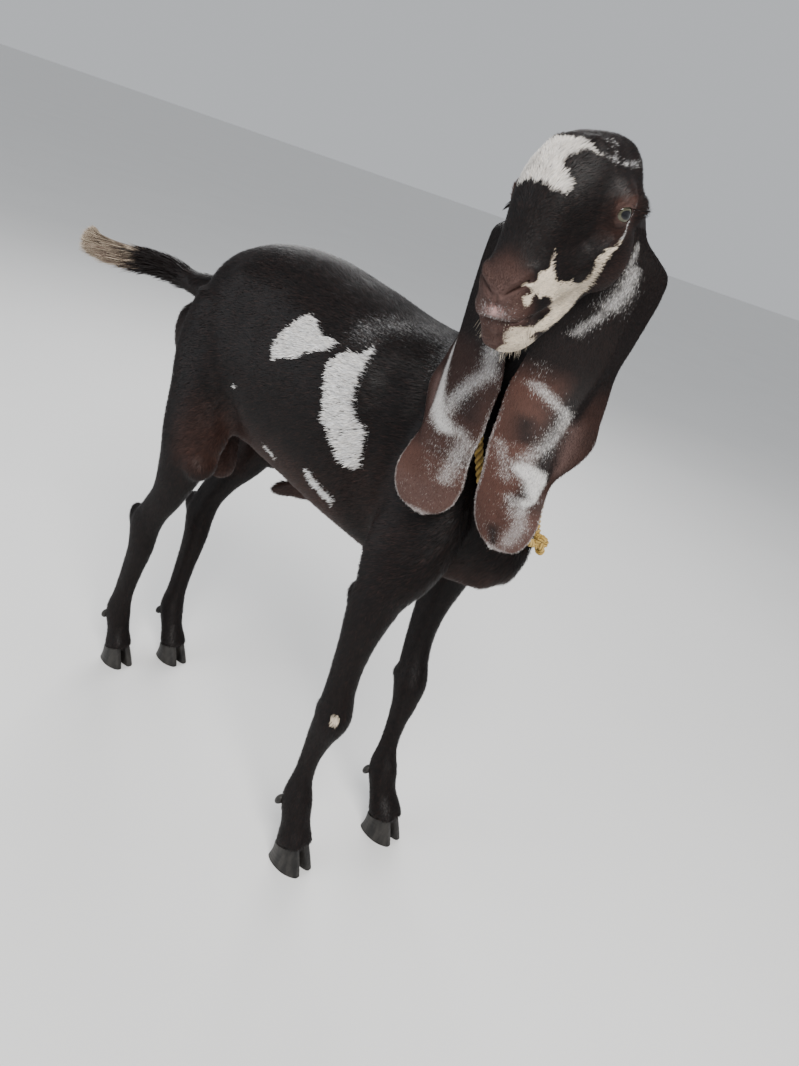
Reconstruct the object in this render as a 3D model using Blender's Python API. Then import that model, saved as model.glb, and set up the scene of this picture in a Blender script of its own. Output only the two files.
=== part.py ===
"""Young beetal goat, life size, standing with its neck raised and its face turned to its right.

Metres, +Z up. The animal faces -Y, its left side is +X and its soles stand on z = 0.
"""
import math

import bmesh
import bpy
import numpy as np
from mathutils import Vector

# Driving sizes
GAP = 0.0003
FRAME_SHIFT = (0.0725, 0.2117, 0.0)
VOXEL = 0.0055
SKIN_TRIANGLES = 7900
HEAD_WEIGHT = 0.30
HEAD_PULL = 0.004
EYE_RADIUS = 0.0130
EYE_PLACE = (-0.0010, 0.0470, -0.0040)
EYE_LOOK = (0.35, 0.93, 0.05)
LID = 0.0024
EYE_OPENING = (0.0108, 0.0060, 0.0066)
EAR_THICK = 0.0034
EAR_TIP_THICK = 0.0022
COLLAR_RADIUS = 0.0050
# Points that the collar passes by, from the knot round the right side to the nape and back
COLLAR_LINE = (
    (0.0133, -0.6527, 0.6233), (-0.0150, -0.6420, 0.6420), (-0.0440, -0.6190, 0.6590),
    (-0.0700, -0.5880, 0.6950), (-0.0680, -0.5700, 0.7400), (-0.0640, -0.5500, 0.7950),
    (-0.0560, -0.5420, 0.8500), (-0.0200, -0.5350, 0.8820), (0.0250, -0.5450, 0.8500),
    (0.0520, -0.5600, 0.7900), (0.0660, -0.5780, 0.7300), (0.0620, -0.6080, 0.6800),
    (0.0420, -0.6380, 0.6430),
)

# Head frame: the middle between the eyes, how far the face is turned, lowered and tilted
HEAD_CENTRE = np.array((-0.1735, -0.6266, 1.0171))
HEAD_TURN = math.radians(83.0)
HEAD_PITCH = math.radians(29.6)
HEAD_ROLL = math.radians(9.4)

# Trunk from rump to breast: y, top, bottom, half width
TORSO = (
    (0.052, 0.728, 0.668, 0.030), (0.031, 0.741, 0.618, 0.050), (-0.020, 0.773, 0.566, 0.076),
    (-0.100, 0.834, 0.540, 0.096), (-0.180, 0.857, 0.540, 0.106), (-0.280, 0.850, 0.530, 0.117),
    (-0.380, 0.836, 0.515, 0.119), (-0.460, 0.834, 0.505, 0.106), (-0.530, 0.834, 0.502, 0.084),
    (-0.585, 0.790, 0.515, 0.065), (-0.622, 0.735, 0.550, 0.045), (-0.642, 0.690, 0.605, 0.022),
)
# Neck: centre, half side, half depth, turn of its section in degrees
NECK = (
    (0.000, -0.430, 0.665, 0.070, 0.120, 0), (0.000, -0.500, 0.705, 0.068, 0.116, 0),
    (-0.001, -0.555, 0.760, 0.058, 0.098, 6), (-0.010, -0.590, 0.820, 0.051, 0.080, 22),
    (-0.033, -0.612, 0.880, 0.045, 0.068, 46), (-0.062, -0.623, 0.930, 0.041, 0.060, 66),
    (-0.088, -0.625, 0.975, 0.040, 0.055, 79), (-0.108, -0.622, 1.020, 0.039, 0.048, 83),
)
# Face from poll to upper lip in the head frame: forward, top, bottom, half width
SKULL = (
    (-0.080, 0.018, -0.045, 0.026), (-0.066, 0.035, -0.052, 0.040), (-0.045, 0.0465, -0.062, 0.0470),
    (-0.018, 0.0525, -0.070, 0.0500), (0.006, 0.0530, -0.078, 0.0480), (0.030, 0.0460, -0.082, 0.0430),
    (0.054, 0.0320, -0.080, 0.0365), (0.077, 0.0140, -0.071, 0.0325), (0.096, -0.0020, -0.065, 0.0305),
    (0.111, -0.0170, -0.0625, 0.0280), (0.122, -0.0320, -0.0600, 0.0225),
)
# Lower jaw in the head frame: forward, height, half width, half depth
JAW = (
    (-0.030, -0.052, 0.034, 0.028), (-0.004, -0.058, 0.036, 0.027), (0.024, -0.067, 0.032, 0.0230),
    (0.052, -0.0750, 0.0275, 0.0195), (0.080, -0.079, 0.0245, 0.0170), (0.102, -0.0775, 0.0240, 0.0165),
    (0.120, -0.0745, 0.0220, 0.0150), (0.132, -0.0700, 0.0150, 0.0100),
)
# Foreleg: height, half side, half depth, outward, right y, left y
FORE = (
    (0.760, 0.022, 0.052, 0.064, -0.500, -0.500), (0.690, 0.030, 0.062, 0.074, -0.522, -0.520),
    (0.620, 0.033, 0.062, 0.080, -0.538, -0.534), (0.550, 0.035, 0.055, 0.088, -0.530, -0.524),
    (0.500, 0.031, 0.038, 0.092, -0.522, -0.512), (0.455, 0.0265, 0.0325, 0.094, -0.516, -0.504),
    (0.420, 0.0228, 0.0270, 0.094, -0.514, -0.502), (0.375, 0.0205, 0.0232, 0.093, -0.512, -0.502),
    (0.330, 0.0212, 0.0236, 0.091, -0.512, -0.508), (0.285, 0.0250, 0.0272, 0.090, -0.514, -0.517),
    (0.245, 0.0190, 0.0215, 0.089, -0.505, -0.521), (0.205, 0.0145, 0.0168, 0.088, -0.499, -0.521),
    (0.155, 0.0145, 0.0172, 0.087, -0.496, -0.523), (0.113, 0.0210, 0.0258, 0.087, -0.499, -0.529),
    (0.074, 0.0218, 0.0235, 0.087, -0.510, -0.544), (0.040, 0.0270, 0.0285, 0.087, -0.519, -0.563),
    (0.020, 0.0270, 0.0285, 0.087, -0.523, -0.573),
)
# Hind leg: height, half side, half depth, outward, right y, left y
HIND = (
    (0.750, 0.034, 0.070, 0.056, -0.088, -0.088), (0.670, 0.041, 0.078, 0.068, -0.090, -0.088),
    (0.600, 0.042, 0.070, 0.077, -0.096, -0.092), (0.530, 0.038, 0.059, 0.082, -0.090, -0.076),
    (0.465, 0.0300, 0.0420, 0.080, -0.074, -0.052), (0.410, 0.0245, 0.0300, 0.075, -0.054, -0.022),
    (0.355, 0.0212, 0.0270, 0.069, -0.020, 0.004), (0.318, 0.0232, 0.0290, 0.065, 0.000, 0.013),
    (0.275, 0.0200, 0.0255, 0.062, 0.005, 0.010), (0.205, 0.0165, 0.0210, 0.057, 0.024, 0.014),
    (0.140, 0.0168, 0.0205, 0.053, 0.040, 0.018), (0.104, 0.0210, 0.0250, 0.051, 0.046, 0.018),
    (0.066, 0.0198, 0.0218, 0.050, 0.037, 0.005), (0.038, 0.0235, 0.0255, 0.050, 0.030, -0.008),
    (0.020, 0.0235, 0.0255, 0.050, 0.026, -0.016),
)
# Coronet plane of each foot: outward sign, centre y, centre height, half width of a claw, claw length
FEET = {
    "foreleg_right": (-0.087, -0.519, 0.038, 0.0268, 0.060),
    "foreleg_left": (0.087, -0.563, 0.038, 0.0268, 0.060),
    "hindleg_right": (-0.050, 0.029, 0.034, 0.0236, 0.054),
    "hindleg_left": (0.050, -0.010, 0.034, 0.0236, 0.054),
}
CORONET_SLOPE = 0.30
CLEFT = 0.0012
# Ear sections down from its root in outward and forward steps: drop, inner edge, crease, outer edge
EAR = (
    (-0.008, -0.008, 0.010, -0.002, -0.004, 0.000, -0.014),
    (0.012, -0.014, 0.013, 0.005, -0.006, 0.010, -0.019),
    (0.030, -0.021, 0.016, 0.012, -0.012, 0.026, -0.028),
    (0.048, -0.027, 0.019, 0.018, -0.018, 0.038, -0.040),
    (0.080, -0.034, 0.021, 0.0235, -0.025, 0.042, -0.054),
    (0.130, -0.042, 0.020, 0.0240, -0.027, 0.034, -0.061),
    (0.180, -0.051, 0.018, 0.0190, -0.020, 0.031, -0.057),
    (0.215, -0.056, 0.015, 0.0130, -0.009, 0.037, -0.047),
    (0.242, -0.056, 0.014, 0.0110, -0.002, 0.042, -0.039),
    (0.266, -0.055, 0.013, 0.0130, 0.002, 0.034, -0.028),
    (0.288, -0.053, 0.012, 0.0150, 0.004, 0.023, -0.010),
    (0.315, -0.052, 0.006, 0.0080, 0.007, 0.025, 0.005),
    (0.345, -0.050, -0.003, -0.0020, 0.007, 0.029, 0.010),
    (0.366, -0.044, -0.007, -0.0080, 0.003, 0.024, 0.007),
    (0.380, -0.031, -0.007, -0.0100, -0.001, 0.012, 0.002),
    (0.3875, -0.017, -0.006, -0.0110, -0.004, -0.004, -0.003),
)
EAR_BASE = (-0.050, 0.047, -0.036)
EAR_TURN = math.radians(78.0)
EAR_LINE = {1.0: (-0.114, -0.670, 1.040), -1.0: (-0.142, -0.554, 1.040)}
# How far the outer wing of each ear spreads at its top
EAR_SPREAD = {1.0: 1.0, -1.0: 0.45}
# Tail: centre, half side, half depth
TAIL = (
    (0.000, 0.000, 0.738, 0.021, 0.026), (0.000, 0.040, 0.730, 0.021, 0.024),
    (-0.003, 0.075, 0.7275, 0.0205, 0.0235), (-0.012, 0.125, 0.7320, 0.0190, 0.0245),
    (-0.026, 0.170, 0.7305, 0.0175, 0.0240), (-0.040, 0.205, 0.725, 0.0165, 0.0235),
    (-0.056, 0.236, 0.7235, 0.0150, 0.0245), (-0.067, 0.260, 0.727, 0.0120, 0.0215),
    (-0.073, 0.273, 0.737, 0.0060, 0.0120),
)
# Share of the tail's sections that is core, from its root to its tip
TAIL_CORE = (1.0, 1.0, 0.96, 0.90, 0.88, 0.84, 0.78, 0.66, 0.40)
BRUSH_LOCKS = 13
FRINGE_LOCKS = 8
SCROTUM = (
    (0.000, -0.078, 0.560, 0.020, 0.024), (0.000, -0.080, 0.525, 0.017, 0.020),
    (0.000, -0.081, 0.498, 0.020, 0.021), (0.000, -0.081, 0.474, 0.024, 0.022),
    (0.000, -0.081, 0.454, 0.018, 0.017), (0.000, -0.081, 0.445, 0.006, 0.006),
)
SHEATH = (
    (0.000, -0.330, 0.545, 0.014, 0.018), (0.000, -0.285, 0.523, 0.013, 0.016),
    (0.000, -0.245, 0.506, 0.011, 0.013), (0.000, -0.218, 0.492, 0.009, 0.010),
    (0.000, -0.208, 0.484, 0.004, 0.005),
)

COLOURS = {
    "coat": (0.030, 0.024, 0.022, 1.0),
    "ear_skin": (0.110, 0.050, 0.035, 1.0),
    "horn": (0.060, 0.052, 0.045, 1.0),
    "eye": (0.090, 0.075, 0.030, 1.0),
    "rope": (0.550, 0.340, 0.060, 1.0),
}


def head_axes():
    """Forward, left and up of the head as rows."""
    ct, st = math.cos(HEAD_TURN), math.sin(HEAD_TURN)
    cp, sp = math.cos(HEAD_PITCH), math.sin(HEAD_PITCH)
    cr, sr = math.cos(HEAD_ROLL), math.sin(HEAD_ROLL)
    forward = np.array((-st * cp, -ct * cp, -sp))
    left = np.array((ct, -st, 0.0))
    up = np.array((-st * sp, -ct * sp, cp))
    return np.array((forward, cr * left + sr * up, cr * up - sr * left))


AXES = head_axes()


def to_world(points):
    """Points of the head frame in model space."""
    return HEAD_CENTRE + np.asarray(points, float) @ AXES


def to_head(points):
    """Model points in the head frame."""
    return (np.asarray(points, float) - HEAD_CENTRE) @ AXES.T


def resample(rows, count):
    """Rows of a table on a smooth curve at even steps of length."""
    rows = np.asarray(rows, float)
    steps = np.linalg.norm(np.diff(rows[:, :3], axis=0), axis=1)
    at = np.concatenate(([0.0], np.cumsum(steps)))
    slopes = np.gradient(rows, at, axis=0)
    want = np.linspace(0.0, at[-1], count)
    i = np.clip(np.searchsorted(at, want, side="right") - 1, 0, len(at) - 2)
    h = (at[i + 1] - at[i])[:, None]
    t = ((want - at[i]) / (at[i + 1] - at[i]))[:, None]
    a, b = rows[i], rows[i + 1]
    return ((2 * t**3 - 3 * t**2 + 1) * a + (t**3 - 2 * t**2 + t) * h * slopes[i]
            + (3 * t**2 - 2 * t**3) * b + (t**3 - t**2) * h * slopes[i + 1])


def unit(v):
    """Vectors scaled to length one."""
    v = np.asarray(v, float)
    return v / np.maximum(np.linalg.norm(v, axis=-1, keepdims=True), 1e-12)


def ring_faces(rings, spokes, close=True):
    """Quads of a grid of rings, with the last index fans of two end points when closed."""
    i, j = np.meshgrid(np.arange(rings - 1), np.arange(spokes), indexing="ij")
    k = (j + 1) % spokes
    quads = np.stack((i * spokes + j, i * spokes + k, (i + 1) * spokes + k, (i + 1) * spokes + j), -1)
    faces = quads.reshape(-1, 4).tolist()
    if close:
        first, last = rings * spokes, rings * spokes + 1
        base = (rings - 1) * spokes
        for n in range(spokes):
            m = (n + 1) % spokes
            faces.append((first, m, n))
            faces.append((last, base + n, base + m))
    return faces


def tube(rows, rings, spokes, side=(1.0, 0.0, 0.0), power=2.0, pinch=(0.0, 0.0)):
    """Closed tube of superellipse sections along a table of centre, half side and half depth."""
    table = resample(rows, rings)
    centre = table[:, :3]
    tangent = unit(np.gradient(centre, axis=0))
    side = np.broadcast_to(np.asarray(side, float), centre.shape)
    if table.shape[1] > 5:
        turn = np.radians(table[:, 5])
        side = np.stack((np.cos(turn), -np.sin(turn), np.zeros_like(turn)), 1)
    side = unit(side - np.sum(side * tangent, 1, keepdims=True) * tangent)
    third = np.cross(tangent, side)
    angle = np.linspace(0.0, 2 * math.pi, spokes, endpoint=False)
    c, s = np.cos(angle), np.sin(angle)
    c = np.sign(c) * np.abs(c) ** (2.0 / power)
    s = np.sign(s) * np.abs(s) ** (2.0 / power)
    pinch = np.linspace(*pinch, rings)[:, None]
    c = c * (1.0 - pinch * s)
    points = (centre[:, None, :] + side[:, None, :] * (table[:, 3, None, None] * c[:, :, None])
              + third[:, None, :] * (table[:, 4, None, None] * s[None, :, None]))
    verts = np.concatenate((points.reshape(-1, 3), centre[:1], centre[-1:]))
    return verts, ring_faces(rings, spokes)


def ball(centre, radii, axes=np.eye(3), rings=12, spokes=18):
    """Ellipsoid with its radii along three axes."""
    phi = np.linspace(0.0, math.pi, rings + 2)[1:-1]
    theta = np.linspace(0.0, 2 * math.pi, spokes, endpoint=False)
    unit_points = np.stack((np.outer(np.cos(phi), np.ones(spokes)), np.outer(np.sin(phi), np.cos(theta)),
                            np.outer(np.sin(phi), np.sin(theta))), -1).reshape(-1, 3)
    unit_points = np.concatenate((unit_points, ((1.0, 0, 0), (-1.0, 0, 0))))
    verts = np.asarray(centre, float) + (unit_points * np.asarray(radii, float)) @ np.asarray(axes, float)
    return verts, ring_faces(rings, spokes)


def torso_part():
    """Trunk tube from the table of tops and bottoms."""
    rows = [(0.0, y, (top + low) / 2, half, (top - low) / 2) for y, top, low, half in TORSO]
    return tube(rows, 60, 44, power=2.12, pinch=(0.08, -0.10))


def skull_part():
    """Face tube from poll to upper lip."""
    rows = []
    for f, top, low, half in SKULL:
        x, y, z = to_world((f, 0.0, (top + low) / 2))
        rows.append((x, y, z, half, (top - low) / 2))
    return tube(rows, 46, 40, side=AXES[1], power=2.5, pinch=(0.0, 0.36))


def jaw_part():
    """Lower jaw tube."""
    rows = []
    for f, u, half, depth in JAW:
        x, y, z = to_world((f, 0.0, u))
        rows.append((x, y, z, half, depth))
    return tube(rows, 30, 28, side=AXES[1], power=2.2)


def tail_core():
    """Tail tube inside its long hair, which ends short of the tip."""
    rows = [(x, y, z, a * k, b * k) for (x, y, z, a, b), k in zip(TAIL, TAIL_CORE)]
    return tube(rows[:-1], 26, 20)


def limb_part(table, side_sign, column):
    """Leg tube, the y of its centre read from the wanted column."""
    rows = [(side_sign * r[3], r[column], r[0], r[1], r[2]) for r in table]
    return tube(rows, 90, 28, power=2.1)


def head_extras():
    """Cheeks, brows and ear stumps that round out the head."""
    parts = []
    for s in (-1.0, 1.0):
        parts.append(ball(to_world((-0.004, s * 0.035, -0.044)), (0.044, 0.021, 0.036), AXES))
        parts.append(ball(to_world((-0.010, s * 0.0415, 0.000)), (0.0255, 0.0175, 0.0205), AXES))
        parts.append(ball(to_world((-0.030, s * 0.037, -0.010)), (0.028, 0.014, 0.014), AXES))
        parts.append(ball(to_world((-0.047, s * 0.042, -0.020)), (0.014, 0.014, 0.014), AXES))
        parts.append(ball(to_world((EYE_PLACE[0], s * EYE_PLACE[1], EYE_PLACE[2])),
                          (EYE_RADIUS + LID,) * 3, AXES))
        parts.append(ball(to_world((0.103, s * 0.0150, -0.028)), (0.017, 0.0145, 0.016), AXES))
        parts.append(ball(to_world((0.111, s * 0.0100, -0.0500)), (0.0215, 0.0190, 0.0130), AXES))
    return parts


def limb_extras():
    """Elbow, stifle, knee and hock points, and the bulbs of the heels."""
    parts = []
    for s, fy, ky, hy, sy in ((-1, -0.490, -0.492, 0.028, -0.122), (1, -0.474, -0.492, 0.044, -0.108)):
        parts.append(ball((s * 0.092, fy, 0.484), (0.017, 0.016, 0.022)))
        parts.append(ball((s * 0.089, ky, 0.292), (0.013, 0.011, 0.015)))
        parts.append(ball((s * 0.066, hy, 0.325), (0.013, 0.014, 0.024)))
        parts.append(ball((s * 0.086, sy, 0.505), (0.028, 0.030, 0.036)))
    return parts


def raw_skin():
    """All body forms overlapping, before they are made one surface."""
    parts = [torso_part(), tube(NECK, 46, 40, power=2.1, pinch=(-0.05, -0.05)), skull_part(), jaw_part()]
    parts += head_extras() + limb_extras()
    parts += [limb_part(FORE, -1, 4), limb_part(FORE, 1, 5)]
    parts += [limb_part(HIND, -1, 4), limb_part(HIND, 1, 5)]
    parts += [tail_core(), tube(SCROTUM, 20, 24), tube(SHEATH, 16, 18)]
    return parts


def join_parts(parts):
    """One list of vertices and one of faces for several shapes."""
    verts, faces, base = [], [], 0
    for v, f in parts:
        verts.append(v)
        faces.extend(tuple(i + base for i in face) for face in f)
        base += len(v)
    return np.concatenate(verts), faces


def make_object(name, verts, faces, colour="coat"):
    """Mesh object with its own material and outward faces."""
    mesh = bpy.data.meshes.new(name)
    mesh.from_pydata(np.asarray(verts, float).tolist(), [], [tuple(f) for f in faces])
    mesh.validate(clean_customdata=False)
    obj = bpy.data.objects.new(name, mesh)
    bpy.context.scene.collection.objects.link(obj)
    outward(obj)
    paint(obj, colour)
    return obj


def paint(obj, colour):
    """Give an object a material of its own."""
    material = bpy.data.materials.new(obj.name)
    material.use_nodes = True
    shader = material.node_tree.nodes["Principled BSDF"]
    shader.inputs["Base Color"].default_value = COLOURS[colour]
    shader.inputs["Roughness"].default_value = 0.2 if colour == "eye" else 0.8
    material.diffuse_color = COLOURS[colour]
    obj.data.materials.clear()
    obj.data.materials.append(material)


def outward(obj):
    """Turn the faces of a closed mesh outward."""
    bm = bmesh.new()
    bm.from_mesh(obj.data)
    bmesh.ops.recalc_face_normals(bm, faces=bm.faces[:])
    if bm.calc_volume(signed=True) < 0:
        bmesh.ops.reverse_faces(bm, faces=bm.faces[:])
    bm.to_mesh(obj.data)
    bm.free()


def coords(obj):
    """Vertex positions of an object as an array."""
    out = np.empty(len(obj.data.vertices) * 3)
    obj.data.vertices.foreach_get("co", out)
    return out.reshape(-1, 3)


def set_coords(obj, points):
    """Write vertex positions back."""
    obj.data.vertices.foreach_set("co", np.ascontiguousarray(points).ravel())
    obj.data.update()


def normals(obj):
    """Vertex normals of an object as an array."""
    out = np.empty(len(obj.data.vertices) * 3)
    obj.data.vertices.foreach_get("normal", out)
    return out.reshape(-1, 3)


def edges(obj):
    """Edges of an object as an array of vertex pairs."""
    out = np.empty(len(obj.data.edges) * 2, dtype=np.int64)
    obj.data.edges.foreach_get("vertices", out)
    return out.reshape(-1, 2)


def ease(obj, rounds, weight=None):
    """Even out a surface without shrinking it."""
    points, pairs = coords(obj), edges(obj)
    count = np.bincount(pairs.ravel(), minlength=len(points))[:, None]
    for _ in range(rounds):
        for factor in (0.50, -0.53):
            total = np.zeros_like(points)
            for axis in range(3):
                total[:, axis] = (np.bincount(pairs[:, 0], points[pairs[:, 1], axis], len(points))
                                  + np.bincount(pairs[:, 1], points[pairs[:, 0], axis], len(points)))
            shift = factor * (total / count - points)
            points = points + (shift if weight is None else shift * weight[:, None])
    set_coords(obj, points)


def apply_modifiers(obj):
    """Replace the mesh by its evaluated one."""
    graph = bpy.context.evaluated_depsgraph_get()
    graph.update()
    mesh = bpy.data.meshes.new_from_object(obj.evaluated_get(graph))
    old = obj.data
    obj.modifiers.clear()
    obj.data = mesh
    bpy.data.meshes.remove(old)


def refine_head(obj):
    """Split the faces of the head once more so that small features find points to move."""
    bm = bmesh.new()
    bm.from_mesh(obj.data)
    local = to_head([f.calc_center_median()[:] for f in bm.faces])
    near = (local[:, 0] > -0.085) & (local[:, 2] > -0.11) & (local[:, 2] < 0.08)
    picked = set()
    for face, use in zip(bm.faces, near):
        if use:
            picked.update(face.edges)
    bmesh.ops.subdivide_edges(bm, edges=list(picked), cuts=1, use_grid_fill=True, smooth=0.0)
    bmesh.ops.triangulate(bm, faces=[f for f in bm.faces if len(f.verts) > 4])
    bm.to_mesh(obj.data)
    bm.free()


def bump(points, centre, radii, axes=np.eye(3)):
    """Weight that is one at a centre and falls off like a bell along three axes."""
    local = (points - centre) @ np.asarray(axes).T / np.asarray(radii)
    return np.exp(-np.sum(local**2, axis=1))


def groove(points, path, width):
    """Weight near a path of points that is one on it and falls off within a width."""
    path = np.asarray(path, float)
    best = np.full(len(points), 1e9)
    for a, b in zip(path[:-1], path[1:]):
        along = b - a
        t = np.clip((points - a) @ along / (along @ along), 0.0, 1.0)
        best = np.minimum(best, np.linalg.norm(points - a - t[:, None] * along, axis=1))
    return np.exp(-((best / width) ** 2))


def mouth_path(s):
    """Line of the lips on one side, from the front to the corner, in the head frame."""
    return [(0.1330, 0.0, -0.0555), (0.1290, s * 0.0130, -0.0550), (0.1180, s * 0.0240, -0.0545),
            (0.1040, s * 0.0285, -0.0565), (0.0880, s * 0.0300, -0.0600)]


def nostril_path(s):
    """Slit of one nostril from its inner to its outer end, in the head frame."""
    return [(0.1262, s * 0.0060, -0.0325), (0.1235, s * 0.0120, -0.0285), (0.1175, s * 0.0190, -0.0250),
            (0.1105, s * 0.0240, -0.0215)]


def sculpt_head(obj):
    """Sockets, lids, brows, nasal lines, nostril wings, lips and chin."""
    points, normal = coords(obj), normals(obj)
    local = to_head(points)
    move = np.zeros(len(points))
    e3 = np.eye(3)
    for s in (-1.0, 1.0):
        move += 0.0022 * groove(local, [(-0.014, s * 0.058, 0.004), (-0.004, s * 0.0600, 0.0110),
                                        (0.010, s * 0.056, 0.0090), (0.020, s * 0.049, -0.001)], 0.0040)
        move -= 0.0016 * groove(local, [(-0.014, s * 0.056, -0.014), (0.002, s * 0.056, -0.0200),
                                        (0.018, s * 0.048, -0.0130)], 0.0034)
        move -= 0.0026 * groove(local, [(0.024, s * 0.046, -0.006), (0.040, s * 0.040, -0.016)], 0.0070)
        move -= 0.0040 * bump(local, (0.048, s * 0.037, -0.012), (0.030, 0.020, 0.014), e3)
        move -= 0.0030 * bump(local, (0.056, s * 0.033, -0.062), (0.030, 0.020, 0.012), e3)
        move += 0.0020 * groove(local, [(0.016, s * 0.047, -0.030), (0.052, s * 0.038, -0.038)], 0.0080)
        slit = nostril_path(s)
        move += 0.0020 * groove(local, [(p[0] - 0.003, p[1] * 1.02, p[2] + 0.006) for p in slit[1:]], 0.0040)
        move -= 0.0030 * groove(local, slit, 0.0030)
        move -= 0.0030 * groove(local, mouth_path(s), 0.0026)
        move += 0.0016 * groove(local, [(p[0], p[1], p[2] + 0.007) for p in mouth_path(s)], 0.0045)
        move += 0.0014 * groove(local, [(p[0] - 0.003, p[1], p[2] - 0.008) for p in mouth_path(s)], 0.0045)
        move += 0.0030 * bump(local, (-0.012, s * 0.018, 0.044), (0.012, 0.010, 0.012), e3)
        move -= 0.0030 * bump(local, (-0.048, s * 0.038, 0.026), (0.020, 0.012, 0.012), e3)
    move -= 0.0024 * groove(local, [(0.127, 0.0, -0.033), (0.132, 0.0, -0.045), (0.134, 0.0, -0.054)], 0.0022)
    move += 0.0030 * bump(local, (0.070, 0.0, 0.020), (0.035, 0.018, 0.015), e3)
    set_coords(obj, points + normal * move[:, None])


def wedge(path, depth, half, taper=0.35):
    """Thin diamond-shaped cutter along a path of head-frame points, its edge toward the middle."""
    path = np.array(path)
    rows = resample(np.hstack((path, np.zeros((len(path), 1)))), 7)[:, :3]
    along = unit(np.gradient(rows, axis=0))
    inward = unit(np.array((0.060, 0.0, -0.045)) - rows)
    inward = unit(inward - np.sum(inward * along, 1, keepdims=True) * along)
    lift = np.cross(along, inward)
    size = 1.0 - (1.0 - taper) * np.linspace(-1.0, 1.0, len(rows)) ** 4
    rings = []
    for row, a, b, k in zip(rows, inward, lift, size):
        rings.append((row + a * depth * k, row + b * half * k, row - a * 0.006, row - b * half * k))
    verts = to_world(np.array(rings).reshape(-1, 3))
    ends = [verts[:4].mean(axis=0), verts[-4:].mean(axis=0)]
    return np.concatenate((verts, ends)), ring_faces(len(rows), 4)


def cut_face(head):
    """Open the line of the mouth and the slits of the nostrils."""
    mouth = mouth_path(-1.0)[::-1] + mouth_path(1.0)[1:]
    for path, depth, half in ((mouth, 0.0040, 0.0016), (nostril_path(-1.0), 0.0060, 0.0018),
                              (nostril_path(1.0), 0.0060, 0.0018)):
        verts, faces = wedge(path, depth, half)
        boolean(head, make_object("slit", verts, faces))


def sculpt_body(obj):
    """Hip bones, shoulder blades, flank hollows, leg tendons and the cleft above the claws."""
    points, normal = coords(obj), normals(obj)
    move = np.zeros(len(points))
    for s in (-1.0, 1.0):
        move += 0.0070 * bump(points, (s * 0.085, -0.115, 0.800), (0.026, 0.026, 0.022))
        move += 0.0030 * bump(points, (s * 0.050, 0.030, 0.735), (0.020, 0.022, 0.020))
        move -= 0.0090 * bump(points, (s * 0.105, -0.175, 0.745), (0.050, 0.050, 0.045))
        move -= 0.0050 * bump(points, (s * 0.100, -0.165, 0.600), (0.040, 0.035, 0.050))
        move += 0.0040 * groove(points, [(s * 0.050, -0.500, 0.825), (s * 0.098, -0.545, 0.680)], 0.018)
        move -= 0.0050 * groove(points, [(s * 0.095, -0.440, 0.760), (s * 0.112, -0.445, 0.560)], 0.022)
        move += 0.0030 * bump(points, (s * 0.085, -0.605, 0.650), (0.026, 0.026, 0.032))
        move -= 0.0040 * groove(points, [(s * 0.030, -0.640, 0.700), (s * 0.040, -0.600, 0.540)], 0.016)
        move += 0.0030 * bump(points, (s * 0.110, -0.050, 0.690), (0.030, 0.030, 0.060))
    for z, low in ((0.19, 0.15), (0.21, 0.15)):
        for table, right, left in ((FORE, 4, 5), (HIND, 4, 5)):
            for s, col in ((-1.0, right), (1.0, left)):
                ys = np.interp(points[:, 2], [r[0] for r in table][::-1], [r[col] for r in table][::-1])
                xs = s * np.interp(points[:, 2], [r[0] for r in table][::-1], [r[3] for r in table][::-1])
                at = np.stack((points[:, 0] - xs, points[:, 1] - ys - 0.004), 1)
                near = np.exp(-((at[:, 1] / 0.006) ** 2)) * (np.abs(at[:, 0]) < 0.03)
                span = np.exp(-(((points[:, 2] - z) / 0.055) ** 4))
                move -= 0.0009 * near * span
    for x, y, z, _, _ in FEET.values():
        cleft = np.exp(-(((points[:, 0] - x) / 0.0050) ** 2))
        height = np.clip((z + 0.030 - points[:, 2]) / 0.020, 0.0, 1.0)
        local = np.exp(-(((points[:, 1] - y) / 0.05) ** 4)) * (np.abs(points[:, 0] - x) < 0.03)
        move -= 0.0045 * cleft * height * local
    set_coords(obj, points + normal * move[:, None])


def build_skin():
    """One closed surface of the whole animal, eased, sculpted and thinned out."""
    verts, faces = join_parts(raw_skin())
    obj = make_object("skin", verts, faces)
    remesh = obj.modifiers.new("one_surface", "REMESH")
    remesh.mode = "VOXEL"
    remesh.voxel_size = VOXEL
    apply_modifiers(obj)
    ease(obj, 9)
    sculpt_body(obj)
    ease(obj, 3)
    refine_head(obj)
    ease(obj, 4)
    refine_head(obj)
    ease(obj, 2)
    sculpt_head(obj)
    thin_out(obj, SKIN_TRIANGLES)
    return obj


def thin_out(obj, wanted):
    """Fewer triangles, kept where the head needs them."""
    bm = bmesh.new()
    bm.from_mesh(obj.data)
    bmesh.ops.triangulate(bm, faces=bm.faces[:])
    bm.to_mesh(obj.data)
    bm.free()
    local = to_head(coords(obj))
    group = obj.vertex_groups.new(name="keep")
    head = (local[:, 0] > -0.08) & (np.abs(local[:, 2] + 0.02) < 0.10)
    group.add(np.nonzero(~head)[0].tolist(), 1.0, "REPLACE")
    group.add(np.nonzero(head)[0].tolist(), HEAD_WEIGHT, "REPLACE")
    thin = obj.modifiers.new("fewer", "DECIMATE")
    thin.ratio = wanted / len(obj.data.polygons)
    thin.use_collapse_triangulate = True
    thin.vertex_group = "keep"
    thin.vertex_group_factor = HEAD_PULL
    apply_modifiers(obj)


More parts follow.
